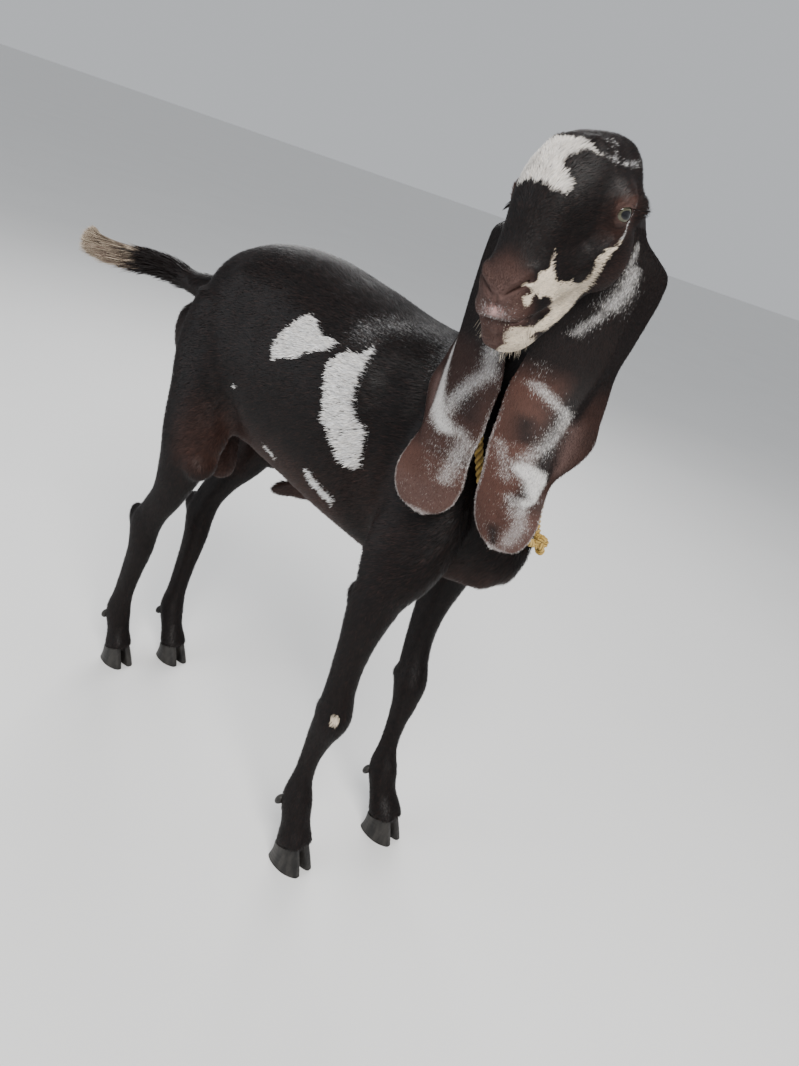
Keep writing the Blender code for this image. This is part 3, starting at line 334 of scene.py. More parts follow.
def carve(obj: bpy.types.Object, shapes: list) -> None:
    """Take closed shapes that don't touch one another out of a closed mesh."""
    cutter = new_object("cutter", *join_shapes(shapes))
    cut = obj.modifiers.new("cut", "BOOLEAN")
    cut.operation = "DIFFERENCE"
    cut.solver = "EXACT"
    cut.object = cutter
    apply_modifiers(obj)
    bpy.data.objects.remove(cutter, do_unlink=True)


def ease(obj: bpy.types.Object, rounds: int) -> None:
    """Even out a surface: points move half way to their neighbours' mean, then a little more back."""
    points = coords(obj)
    pairs = np.empty(len(obj.data.edges) * 2, dtype=np.int64)
    obj.data.edges.foreach_get("vertices", pairs)
    pairs = pairs.reshape(-1, 2)
    count = np.bincount(pairs.ravel(), minlength=len(points))[:, None]
    for _ in range(rounds):
        for factor in (0.50, -0.53):
            total = np.stack([np.bincount(pairs[:, 0], points[pairs[:, 1], k], len(points))
                              + np.bincount(pairs[:, 1], points[pairs[:, 0], k], len(points))
                              for k in range(3)], 1)
            points = points + factor * (total / count - points)
    set_coords(obj, points)


def put_vectors(obj: bpy.types.Object, name: str, values: np.ndarray) -> None:
    """Store three numbers for each point under a name that materials read."""
    attribute = obj.data.attributes.new(name, "FLOAT_VECTOR", "POINT")
    attribute.data.foreach_set("vector", np.ascontiguousarray(values, np.float32).ravel())


def place(obj: bpy.types.Object, material: bpy.types.Material, slot: str) -> None:
    """Give a finished piece its material and the body that it rides on."""
    obj.data.materials.clear()
    obj.data.materials.append(material)
    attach(obj, "root")
    LOG.info("%s: %d faces", obj.name, len(obj.data.polygons))


# ------------------------------------------------------------------ finishes


class Graph:
    """Short calls that add nodes to a node tree."""

    def __init__(self, tree: bpy.types.NodeTree) -> None:
        """Keep the tree that the nodes go into."""
        self.tree = tree

    def node(self, kind: str, values: dict, **settings: object) -> bpy.types.Node:
        """Node of a kind.

        Args:
            kind: Blender's name of the node type.
            values: inputs by name or number, each a constant or the output that feeds it.
            settings: other properties of the node.
        Returns:
            The node.
        """
        made = self.tree.nodes.new(kind)
        for key, value in settings.items():
            setattr(made, key, value)
        for key, value in values.items():
            if isinstance(value, bpy.types.NodeSocket):
                self.tree.links.new(value, made.inputs[key])
            else:
                made.inputs[key].default_value = value
        return made

    def calc(self, operation: str, a: object, b: object = 0.0, c: object = 0.0) -> bpy.types.NodeSocket:
        """Result of a math operation, kept between 0 and 1."""
        values = {0: a, 1: b, 2: c} if operation in ("MULTIPLY_ADD",) else {0: a, 1: b}
        return self.node("ShaderNodeMath", values, operation=operation, use_clamp=True).outputs[0]

    def step(self, value: object, low: float, high: float) -> bpy.types.NodeSocket:
        """Smooth step of a value from 0 at low to 1 at high."""
        return self.node("ShaderNodeMapRange", {"Value": value, "From Min": low, "From Max": high},
                         interpolation_type="SMOOTHSTEP").outputs[0]

    def mix(self, share: object, a: object, b: object, blend: str = "MIX") -> bpy.types.NodeSocket:
        """Colour between two colours, or their product and the like, by a share."""
        return self.node("ShaderNodeMix", {0: share, 6: a, 7: b}, data_type="RGBA", blend_type=blend).outputs[2]

    def noise(self, scale: float, detail: float = 3.0, stretch: Rows = (1.0, 1.0, 1.0),
              rough: float = 0.55) -> bpy.types.NodeSocket:
        """Noise on object coordinates, its cells stretched along the axes."""
        at = self.node("ShaderNodeTexCoord", {}).outputs["Object"]
        moved = self.node("ShaderNodeMapping", {"Vector": at, "Scale": stretch}).outputs[0]
        return self.node("ShaderNodeTexNoise", {"Vector": moved, "Scale": scale, "Detail": detail,
                                                "Roughness": rough}).outputs[0]

    def parts(self, name: str) -> list:
        """The three numbers of a vector attribute."""
        vector = self.node("ShaderNodeAttribute", {}, attribute_name=name).outputs["Vector"]
        return list(self.node("ShaderNodeSeparateXYZ", {0: vector}).outputs)


def grey(value: float) -> tuple:
    """Opaque grey."""
    return (value, value, value, 1.0)


def tint_group() -> bpy.types.NodeTree:
    """Node group that turns the marks stored on skin and hair into the colour of the coat.

    Black goes to reddish brown by Brown; pale hair, grey or cream by Warm, lies where White is over
    a half, its edge broken by noise; bare skin lies over both by Pink; hair is darker toward its root,
    painted shade where it lies under other hair.
    """
    tree = bpy.data.node_groups.new("coat_tint", "ShaderNodeTree")
    for name, start in (("White", 0.0), ("Brown", 0.0), ("Warm", 0.0), ("Pink", 0.0), ("Shade", 0.5), ("Tip", 1.0)):
        tree.interface.new_socket(name, in_out="INPUT", socket_type="NodeSocketFloat").default_value = start
    tree.interface.new_socket("Color", in_out="OUTPUT", socket_type="NodeSocketColor")
    tree.interface.new_socket("Pale", in_out="OUTPUT", socket_type="NodeSocketFloat")
    g = Graph(tree)
    given = g.node("NodeGroupInput", {}).outputs
    broad, fine = g.noise(11.0), g.noise(420.0, 2.0)
    rust = g.node("ShaderNodeMath", {0: broad, 1: 0.9, 2: 0.55}, operation="MULTIPLY_ADD").outputs[0]
    rust = g.calc("MULTIPLY", rust, given["Brown"])
    dark = g.mix(rust, (0.0055, 0.0047, 0.0048, 1.0), (0.088, 0.040, 0.030, 1.0))
    pale = g.mix(given["Warm"], (0.70, 0.71, 0.73, 1.0), (0.74, 0.62, 0.46, 1.0))
    pale = g.mix(g.calc("MULTIPLY", fine, 0.30), pale, (0.40, 0.35, 0.31, 1.0))
    edge = g.node("ShaderNodeMath", {0: fine, 1: 0.5}, operation="SUBTRACT").outputs[0]
    edge = g.node("ShaderNodeMath", {0: edge, 1: 0.12, 2: given["White"]}, operation="MULTIPLY_ADD").outputs[0]
    white = g.step(edge, 0.40, 0.60)
    colour = g.mix(white, dark, pale)
    flesh = g.mix(fine, (0.080, 0.047, 0.040, 1.0), (0.160, 0.098, 0.086, 1.0))
    flesh = g.mix(g.step(given["Pink"], 0.50, 0.95), flesh, (0.46, 0.27, 0.25, 1.0))
    colour = g.mix(given["Pink"], colour, flesh)
    level = g.node("ShaderNodeMath", {0: given["Shade"], 1: 0.85, 2: 0.58}, operation="MULTIPLY_ADD").outputs[0]
    # painted shade: hair darkens toward its root, where it lies under other hair
    root = g.node("ShaderNodeMath", {0: given["Tip"], 1: 0.38, 2: 0.62}, operation="MULTIPLY_ADD").outputs[0]
    level = g.node("ShaderNodeMath", {0: level, 1: root}, operation="MULTIPLY").outputs[0]
    shade = g.node("ShaderNodeCombineColor", {0: level, 1: level, 2: level}).outputs[0]
    colour = g.mix(1.0, colour, shade, "MULTIPLY")
    g.node("NodeGroupOutput", {"Color": colour, "Pale": white})
    return tree


def grain_group() -> bpy.types.NodeTree:
    """Node group of fine bumps: noise of a given size, put out as a normal."""
    tree = bpy.data.node_groups.new("fine_grain", "ShaderNodeTree")
    for name, start in (("Scale", 300.0), ("Strength", 0.3), ("Depth", 0.0005)):
        tree.interface.new_socket(name, in_out="INPUT", socket_type="NodeSocketFloat").default_value = start
    tree.interface.new_socket("Stretch", in_out="INPUT", socket_type="NodeSocketVector").default_value = (1, 1, 1)
    tree.interface.new_socket("Normal", in_out="OUTPUT", socket_type="NodeSocketVector")
    tree.interface.new_socket("Mask", in_out="OUTPUT", socket_type="NodeSocketFloat")
    g = Graph(tree)
    given = g.node("NodeGroupInput", {}).outputs
    at = g.node("ShaderNodeTexCoord", {}).outputs["Object"]
    moved = g.node("ShaderNodeMapping", {"Vector": at, "Scale": given["Stretch"]}).outputs[0]
    noise = g.node("ShaderNodeTexNoise", {"Vector": moved, "Scale": given["Scale"], "Detail": 4.0}).outputs[0]
    bump = g.node("ShaderNodeBump", {"Height": noise, "Strength": given["Strength"], "Distance": given["Depth"]})
    g.node("NodeGroupOutput", {"Normal": bump.outputs[0], "Mask": noise})
    return tree


@dataclass(frozen=True)
class Finish:
    """Shader sockets that hold one constant each."""

    name: str
    roughness: float = 0.5
    specular: float = 0.5
    sheen: float = 0.0
    clear: float = 0.0

    def start(self) -> tuple:
        """New material with its graph and its Principled shader, the constants set on it."""
        material = bpy.data.materials.new(self.name)
        material.use_nodes = True
        graph = Graph(material.node_tree)
        shader = material.node_tree.nodes["Principled BSDF"]
        shader.inputs["Roughness"].default_value = self.roughness
        shader.inputs["Specular IOR Level"].default_value = self.specular
        shader.inputs["Sheen Weight"].default_value = self.sheen
        shader.inputs["Sheen Roughness"].default_value = 0.35
        shader.inputs["Coat Weight"].default_value = self.clear
        shader.inputs["Coat Roughness"].default_value = 0.03
        return material, graph, shader


@dataclass(frozen=True)
class CoatFinish(Finish):
    """Hair and hairy skin, coloured by the marks stored on the mesh."""

    grain: float = 0.0

    def make(self, tint: bpy.types.NodeTree, fine: bpy.types.NodeTree) -> bpy.types.Material:
        """Material whose colour comes from the coat group and whose normal comes from the grain group."""
        material, g, shader = self.start()
        white, brown, warm = g.parts("marks")
        pink, shade, tip = g.parts("touch")
        tinted = g.node("ShaderNodeGroup", {}, node_tree=tint)
        for name, value in (("White", white), ("Brown", brown), ("Warm", warm), ("Pink", pink), ("Shade", shade),
                            ("Tip", tip)):
            g.tree.links.new(value, tinted.inputs[name])
        g.tree.links.new(tinted.outputs["Color"], shader.inputs["Base Color"])
        rough = g.node("ShaderNodeMapRange", {"Value": tinted.outputs["Pale"], "To Min": self.roughness,
                                              "To Max": self.roughness + 0.18}).outputs[0]
        g.tree.links.new(rough, shader.inputs["Roughness"])
        if self.grain > 0.0:
            grain = g.node("ShaderNodeGroup", {"Scale": 520.0, "Strength": self.grain, "Depth": 0.0006},
                           node_tree=fine)
            g.tree.links.new(grain.outputs["Normal"], shader.inputs["Normal"])
        return material


@dataclass(frozen=True)
class HornFinish(Finish):
    """Grey horn with growth rings and pale worn streaks."""

    def make(self, fine: bpy.types.NodeTree) -> bpy.types.Material:
        """Material with rings across and streaks along the wall of a claw."""
        material, g, shader = self.start()
        streak = g.noise(70.0, 4.0, (1.0, 1.0, 0.18))
        band = g.noise(60.0, 2.0, (0.15, 0.15, 3.2))
        colour = g.mix(g.step(streak, 0.35, 0.70), (0.0050, 0.0046, 0.0046, 1.0), (0.034, 0.031, 0.028, 1.0))
        colour = g.mix(g.calc("MULTIPLY", band, 0.55), colour, (0.012, 0.011, 0.010, 1.0))
        g.tree.links.new(colour, shader.inputs["Base Color"])
        grain = g.node("ShaderNodeGroup", {"Scale": 90.0, "Strength": 0.5, "Depth": 0.0012,
                                           "Stretch": (0.3, 0.3, 2.6)}, node_tree=fine)
        g.tree.links.new(grain.outputs["Normal"], shader.inputs["Normal"])
        return material


@dataclass(frozen=True)
class EyeFinish(Finish):
    """Wet eyeball: a flat dark pupil in a greenish grey iris with a dark rim."""

    def make(self) -> bpy.types.Material:
        """Material that reads the place on the eye, in eye radii, from the attribute gaze."""
        material, g, shader = self.start()
        across, above, out = g.parts("gaze")
        a = g.node("ShaderNodeMath", {0: across, 1: 0.46}, operation="DIVIDE").outputs[0]
        b = g.node("ShaderNodeMath", {0: above, 1: 0.29}, operation="DIVIDE").outputs[0]
        a = g.node("ShaderNodeMath", {0: a, 1: a}, operation="MULTIPLY").outputs[0]
        b = g.node("ShaderNodeMath", {0: b, 1: b}, operation="MULTIPLY").outputs[0]
        pupil = g.step(g.node("ShaderNodeMath", {0: a, 1: b}, operation="ADD").outputs[0], 1.25, 0.85)
        fibre = g.noise(900.0, 3.0)
        iris = g.mix(fibre, (0.030, 0.031, 0.020, 1.0), (0.105, 0.100, 0.062, 1.0))
        iris = g.mix(pupil, iris, (0.004, 0.004, 0.006, 1.0))
        limb = g.step(out, 0.56, 0.70)
        colour = g.mix(limb, iris, (0.016, 0.010, 0.008, 1.0))
        g.tree.links.new(colour, shader.inputs["Base Color"])
        return material


@dataclass(frozen=True)
class RopeFinish(Finish):
    """Faded yellow twisted rope, darker in its grooves where the strands meet: painted shade."""

    def make(self, fine: bpy.types.NodeTree) -> bpy.types.Material:
        """Material whose strands are darker, as painted shade, where the attribute lay says that they meet."""
        material, g, shader = self.start()
        depth, along, _ = g.parts("lay")
        patch, fibre = g.noise(26.0), g.noise(700.0)
        colour = g.mix(g.step(patch, 0.30, 0.72), (0.50, 0.30, 0.050, 1.0), (0.66, 0.47, 0.16, 1.0))
        colour = g.mix(g.calc("MULTIPLY", fibre, 0.45), colour, (0.30, 0.17, 0.035, 1.0))
        # painted shade: the strands darken by their depth in the grooves where they meet
        colour = g.mix(g.calc("MULTIPLY", depth, 0.85), colour, (0.085, 0.050, 0.020, 1.0))
        g.tree.links.new(colour, shader.inputs["Base Color"])
        stripe = g.node("ShaderNodeMath", {0: along, 1: 1.0}, operation="SINE").outputs[0]
        height = g.node("ShaderNodeMath", {0: stripe, 1: fibre}, operation="MULTIPLY").outputs[0]
        bump = g.node("ShaderNodeBump", {"Height": height, "Strength": 0.6, "Distance": 0.0006})
        g.tree.links.new(bump.outputs[0], shader.inputs["Normal"])
        return material


@dataclass(frozen=True)
class FloorFinish(Finish):
    """Plain pale studio floor."""

    def make(self) -> bpy.types.Material:
        """Material that is pale all over with a faint unevenness."""
        material, g, shader = self.start()
        colour = g.mix(g.noise(1.5), (0.76, 0.755, 0.745, 1.0), (0.81, 0.805, 0.795, 1.0))
        g.tree.links.new(colour, shader.inputs["Base Color"])
        return material


@dataclass
class Palette:
    """All finishes of the animal, each made once."""

    tint: bpy.types.NodeTree = field(default_factory=tint_group)
    fine: bpy.types.NodeTree = field(default_factory=grain_group)

    def __post_init__(self) -> None:
        """Make the materials."""
        self.hair = CoatFinish("coat_hair", roughness=0.42, specular=0.15).make(self.tint, self.fine)
        self.skin = CoatFinish("hairy_skin", roughness=0.60, specular=0.14, grain=0.5).make(self.tint, self.fine)
        self.ear = CoatFinish("ear_skin", roughness=0.58, specular=0.22, grain=0.4).make(self.tint, self.fine)
        self.horn = HornFinish("claw_horn", roughness=0.46, specular=0.28).make(self.fine)
        self.eye = EyeFinish("wet_eye", roughness=0.10, specular=0.30, clear=0.35).make()
        self.rope = RopeFinish("yellow_rope", roughness=0.72, specular=0.25, sheen=0.2).make(self.fine)
        self.floor = FloorFinish("pale_floor", roughness=0.75, specular=0.2).make()


# ------------------------------------------------------------------ the animal's frame of the head


@dataclass(frozen=True)
class HeadFrame:
    """The middle between the eyes, and how far the face is turned, lowered and tilted."""

    centre: tuple = (-0.1735, -0.6266, 1.0171)
    turn: float = math.radians(83.0)
    pitch: float = math.radians(29.6)
    roll: float = math.radians(9.4)

    @property
    def axes(self) -> np.ndarray:
        """Forward, left and up of the head as rows."""
        ct, st = math.cos(self.turn), math.sin(self.turn)
        cp, sp = math.cos(self.pitch), math.sin(self.pitch)
        cr, sr = math.cos(self.roll), math.sin(self.roll)
        left, up = np.array((ct, -st, 0.0)), np.array((-st * sp, -ct * sp, cp))
        return np.array(((-st * cp, -ct * cp, -sp), cr * left + sr * up, cr * up - sr * left))

    def out(self, points: Rows) -> np.ndarray:
        """Points of the head frame in the animal's frame."""
        return np.array(self.centre) + np.asarray(points, float) @ self.axes

    def into(self, points: np.ndarray) -> np.ndarray:
        """Points of the animal's frame in the head frame."""
        return (np.asarray(points, float) - np.array(self.centre)) @ self.axes.T


HEAD = HeadFrame()


@dataclass(frozen=True)
class EyeSeat:
    """Size and place of an eyeball in the head frame, its look and the half sizes of its opening."""

    radius: float = 0.0130
    place: tuple = (-0.0010, 0.0470, -0.0040)
    look: tuple = (0.35, 0.93, 0.05)
    slant: float = 0.42
    lid: float = 0.0024
    opening: tuple = (0.0108, 0.0060, 0.0066)

    def centre(self, side: Side) -> np.ndarray:
        """Middle of the eyeball in the animal's frame."""
        return HEAD.out((self.place[0], side.value * self.place[1], self.place[2]))

    def axes(self, side: Side) -> np.ndarray:
        """Ways ahead, out of the eye and above it as rows, in the animal's frame."""
        look = unit((self.look[0], side.value * self.look[1], self.look[2]))
        ahead = unit(np.array((1.0, 0.0, self.slant)) - look[0] * look)
        return np.array((ahead, look, np.cross(ahead, look))) @ HEAD.axes


EYE = EyeSeat()


# ------------------------------------------------------------------ body


@dataclass
class BodyForm:
    """Skin of the whole animal: overlapping forms made one surface, eased, sculpted and opened."""

    voxel: float = 0.0060
    # Trunk from rump to breast: y, top, bottom, half width
    torso: tuple = (
        (0.052, 0.728, 0.668, 0.030), (0.031, 0.741, 0.618, 0.050), (-0.020, 0.773, 0.566, 0.076),
        (-0.100, 0.834, 0.540, 0.096), (-0.180, 0.857, 0.540, 0.106), (-0.280, 0.850, 0.530, 0.117),
        (-0.380, 0.836, 0.515, 0.119), (-0.460, 0.834, 0.505, 0.106), (-0.530, 0.834, 0.502, 0.084),
        (-0.585, 0.790, 0.515, 0.065), (-0.622, 0.735, 0.550, 0.045), (-0.642, 0.690, 0.605, 0.022),
    )
    # Neck: centre, half side, half depth, turn of its section in degrees
    neck: tuple = (
        (0.000, -0.430, 0.665, 0.070, 0.120, 0), (0.000, -0.500, 0.705, 0.068, 0.116, 0),
        (-0.001, -0.555, 0.760, 0.058, 0.098, 6), (-0.010, -0.590, 0.820, 0.051, 0.080, 22),
        (-0.033, -0.612, 0.880, 0.045, 0.068, 46), (-0.062, -0.623, 0.930, 0.041, 0.060, 66),
        (-0.088, -0.625, 0.975, 0.040, 0.055, 79), (-0.108, -0.622, 1.020, 0.039, 0.048, 83),
    )
    # Face from poll to upper lip in the head frame: forward, top, bottom, half width
    skull: tuple = (
        (-0.080, 0.018, -0.045, 0.026), (-0.066, 0.035, -0.052, 0.040), (-0.045, 0.0465, -0.062, 0.0470),
        (-0.018, 0.0525, -0.070, 0.0500), (0.006, 0.0530, -0.078, 0.0480), (0.030, 0.0460, -0.082, 0.0430),
        (0.054, 0.0320, -0.080, 0.0365), (0.077, 0.0140, -0.071, 0.0325), (0.096, -0.0020, -0.065, 0.0305),
        (0.111, -0.0170, -0.0625, 0.0280), (0.122, -0.0320, -0.0600, 0.0225),
    )
    # Lower jaw in the head frame: forward, height, half width, half depth
    jaw: tuple = (
        (-0.030, -0.052, 0.034, 0.028), (-0.004, -0.058, 0.036, 0.027), (0.024, -0.067, 0.032, 0.0230),
        (0.052, -0.0750, 0.0275, 0.0195), (0.080, -0.079, 0.0245, 0.0170), (0.102, -0.0775, 0.0240, 0.0165),
        (0.120, -0.0745, 0.0220, 0.0150), (0.132, -0.0700, 0.0150, 0.0100),
    )
    # Foreleg: height, half side, half depth, outward, right y, left y
    fore: tuple = (
        (0.760, 0.022, 0.052, 0.064, -0.500, -0.500), (0.690, 0.030, 0.062, 0.074, -0.522, -0.520),
        (0.620, 0.033, 0.062, 0.080, -0.538, -0.534), (0.550, 0.035, 0.055, 0.088, -0.530, -0.524),
        (0.500, 0.031, 0.038, 0.092, -0.522, -0.512), (0.455, 0.0265, 0.0325, 0.094, -0.516, -0.504),
        (0.420, 0.0228, 0.0270, 0.094, -0.514, -0.502), (0.375, 0.0205, 0.0232, 0.093, -0.512, -0.502),
        (0.330, 0.0212, 0.0236, 0.091, -0.512, -0.508), (0.285, 0.0250, 0.0272, 0.090, -0.514, -0.517),
        (0.245, 0.0190, 0.0215, 0.089, -0.505, -0.521), (0.205, 0.0145, 0.0168, 0.088, -0.499, -0.521),
        (0.155, 0.0145, 0.0172, 0.087, -0.496, -0.523), (0.113, 0.0210, 0.0258, 0.087, -0.499, -0.529),
        (0.074, 0.0218, 0.0235, 0.087, -0.510, -0.544), (0.040, 0.0270, 0.0285, 0.087, -0.519, -0.563),
        (0.020, 0.0270, 0.0285, 0.087, -0.523, -0.573),
    )
    # Hind leg: height, half side, half depth, outward, right y, left y
    hind: tuple = (
        (0.750, 0.034, 0.070, 0.056, -0.088, -0.088), (0.670, 0.041, 0.078, 0.068, -0.090, -0.088),
        (0.600, 0.042, 0.070, 0.077, -0.096, -0.092), (0.530, 0.038, 0.059, 0.082, -0.090, -0.076),
        (0.465, 0.0300, 0.0420, 0.080, -0.074, -0.052), (0.410, 0.0245, 0.0300, 0.075, -0.054, -0.022),
        (0.355, 0.0212, 0.0270, 0.069, -0.020, 0.004), (0.318, 0.0232, 0.0290, 0.065, 0.000, 0.013),
        (0.275, 0.0200, 0.0255, 0.062, 0.005, 0.010), (0.205, 0.0165, 0.0210, 0.057, 0.024, 0.014),
        (0.140, 0.0168, 0.0205, 0.053, 0.040, 0.018), (0.104, 0.0210, 0.0250, 0.051, 0.046, 0.018),
        (0.066, 0.0198, 0.0218, 0.050, 0.037, 0.005), (0.038, 0.0235, 0.0255, 0.050, 0.030, -0.008),
        (0.020, 0.0235, 0.0255, 0.050, 0.026, -0.016),
    )
    # Tail: centre, half side, half depth, and the share of it that is core
    tail: tuple = (
        (0.000, 0.000, 0.738, 0.021, 0.026), (0.000, 0.040, 0.730, 0.021, 0.024),
        (-0.003, 0.075, 0.7275, 0.0205, 0.0235), (-0.012, 0.125, 0.7320, 0.0190, 0.0245),
        (-0.026, 0.170, 0.7305, 0.0175, 0.0240), (-0.040, 0.205, 0.725, 0.0165, 0.0235),
        (-0.056, 0.236, 0.7235, 0.0150, 0.0245), (-0.067, 0.260, 0.727, 0.0120, 0.0215),
        (-0.073, 0.273, 0.737, 0.0060, 0.0120),
    )
    tail_core: tuple = (0.97, 0.95, 0.84, 0.74, 0.68, 0.62, 0.54, 0.42, 0.30)
    scrotum: tuple = (
        (0.000, -0.078, 0.560, 0.020, 0.024), (0.000, -0.080, 0.525, 0.017, 0.020),
        (0.000, -0.081, 0.498, 0.020, 0.021), (0.000, -0.081, 0.474, 0.024, 0.022),
        (0.000, -0.081, 0.454, 0.018, 0.017), (0.000, -0.081, 0.445, 0.006, 0.006),
    )
    sheath: tuple = (
        (0.000, -0.330, 0.545, 0.014, 0.018), (0.000, -0.285, 0.523, 0.013, 0.016),
        (0.000, -0.245, 0.506, 0.011, 0.013), (0.000, -0.218, 0.492, 0.009, 0.010),
        (0.000, -0.208, 0.484, 0.004, 0.005),
    )

    def leg(self, table: Rows, sign: float, column: int) -> Shape:
        """Leg tube, the y of its centre read from the wanted column."""
        return tube([(sign * r[3], r[column], r[0], r[1], r[2]) for r in table], 90, 28, power=2.1)

    def shapes(self) -> list:
        """All forms of the body, overlapping."""
        torso = [(0.0, y, (top + low) / 2, half, (top - low) / 2) for y, top, low, half in self.torso]
        skull = [(*HEAD.out((f, 0.0, (top + low) / 2)), half, (top - low) / 2) for f, top, low, half in self.skull]
        jaw = [(*HEAD.out((f, 0.0, u)), half, depth) for f, u, half, depth in self.jaw]
        core = [(x, y, z, a * k, b * k) for (x, y, z, a, b), k in zip(self.tail, self.tail_core)]
        axes = HEAD.axes
        parts = [tube(torso, 60, 44, power=2.12, pinch=(0.08, -0.10)),
                 tube(self.neck, 46, 40, power=2.1, pinch=(-0.05, -0.05)),
                 tube(skull, 46, 40, side=axes[1], power=2.5, pinch=(0.0, 0.36)),
                 tube(jaw, 30, 28, side=axes[1], power=2.2),
                 ball(HEAD.out((-0.066, 0.0, -0.018)), (0.038, 0.036, 0.042), axes, 20, 28)]
        for s in (-1.0, 1.0):
            for centre, radii in (((-0.004, s * 0.035, -0.044), (0.044, 0.021, 0.036)),
                                  ((-0.010, s * 0.0415, 0.000), (0.0255, 0.0175, 0.0205)),
                                  ((-0.030, s * 0.037, -0.010), (0.028, 0.014, 0.014)),
                                  ((-0.047, s * 0.042, -0.020), (0.014, 0.014, 0.014)),
                                  ((EYE.place[0], s * EYE.place[1], EYE.place[2]), (EYE.radius + EYE.lid,) * 3),
                                  ((0.103, s * 0.0150, -0.028), (0.017, 0.0145, 0.016)),
                                  ((0.111, s * 0.0100, -0.0500), (0.0215, 0.0190, 0.0130))):
                parts.append(ball(HEAD.out(centre), radii, axes))
            fy, hy, sy = (-0.490, 0.028, -0.122) if s < 0 else (-0.474, 0.044, -0.108)
            parts += [ball((s * 0.092, fy, 0.484), (0.017, 0.016, 0.022)),
                      ball((s * 0.089, -0.492, 0.292), (0.013, 0.011, 0.015)),
                      ball((s * 0.066, hy, 0.325), (0.013, 0.014, 0.024)),
                      ball((s * 0.086, sy, 0.505), (0.028, 0.030, 0.036))]
        parts += [self.leg(self.fore, -1, 4), self.leg(self.fore, 1, 5)]
        parts += [self.leg(self.hind, -1, 4), self.leg(self.hind, 1, 5)]
        return parts + [tube(core[:-1], 26, 20), tube(self.scrotum, 20, 24), tube(self.sheath, 16, 18)]

    def leg_line(self, z: np.ndarray, table: Rows, sign: float, column: int) -> tuple:
        """Centre x and y of a leg at given heights."""
        at = [r[0] for r in table][::-1]
        return (sign * np.interp(z, at, [r[3] for r in table][::-1]),
                np.interp(z, at, [r[column] for r in table][::-1]))

    @staticmethod
    def mouth(s: float) -> list:
        """Line of the lips on one side, in the head frame."""
        return [(0.1330, 0.0, -0.0555), (0.1290, s * 0.0130, -0.0550), (0.1180, s * 0.0240, -0.0545),
                (0.1040, s * 0.0285, -0.0565), (0.0880, s * 0.0300, -0.0600)]

    @staticmethod
    def nostril(s: float) -> list:
        """Slit of one nostril, in the head frame."""
        return [(0.1262, s * 0.0060, -0.0325), (0.1235, s * 0.0120, -0.0285), (0.1175, s * 0.0190, -0.0250),
                (0.1105, s * 0.0240, -0.0215)]

    def sculpt_body(self, obj: bpy.types.Object) -> None:
        """Hip bones, shoulder blades, flank hollows, leg tendons and the cleft above the claws."""
        points, normal = coords(obj), normals(obj)
        move = np.zeros(len(points))
        for s in (-1.0, 1.0):
            move += 0.0070 * near_spot(points, (s * 0.085, -0.115, 0.800), (0.026, 0.026, 0.022))
            move += 0.0030 * near_spot(points, (s * 0.050, 0.030, 0.735), (0.020, 0.022, 0.020))
            move -= 0.0090 * near_spot(points, (s * 0.105, -0.175, 0.745), (0.050, 0.050, 0.045))
            move -= 0.0050 * near_spot(points, (s * 0.100, -0.165, 0.600), (0.040, 0.035, 0.050))
            move += 0.0040 * near_path(points, [(s * 0.050, -0.500, 0.825), (s * 0.098, -0.545, 0.680)], 0.018)
            move -= 0.0050 * near_path(points, [(s * 0.095, -0.440, 0.760), (s * 0.112, -0.445, 0.560)], 0.022)
            move += 0.0030 * near_spot(points, (s * 0.085, -0.605, 0.650), (0.026, 0.026, 0.032))
            move -= 0.0040 * near_path(points, [(s * 0.030, -0.640, 0.700), (s * 0.040, -0.600, 0.540)], 0.016)
            move += 0.0030 * near_spot(points, (s * 0.110, -0.050, 0.690), (0.030, 0.030, 0.060))
        for height in (0.19, 0.21):
            for table in (self.fore, self.hind):
                for s, column in ((-1.0, 4), (1.0, 5)):
                    xs, ys = self.leg_line(points[:, 2], table, s, column)
                    near = np.exp(-(((points[:, 1] - ys - 0.004) / 0.006) ** 2)) * (np.abs(points[:, 0] - xs) < 0.03)
                    move -= 0.0009 * near * np.exp(-(((points[:, 2] - height) / 0.055) ** 4))
        for x, y, z, _, _ in FEET.values():
            cleft = np.exp(-(((points[:, 0] - x) / 0.0050) ** 2))
            height = np.clip((z + 0.030 - points[:, 2]) / 0.020, 0.0, 1.0)
            local = np.exp(-(((points[:, 1] - y) / 0.05) ** 4)) * (np.abs(points[:, 0] - x) < 0.03)
            move -= 0.0045 * cleft * height * local
        set_coords(obj, points + normal * move[:, None])

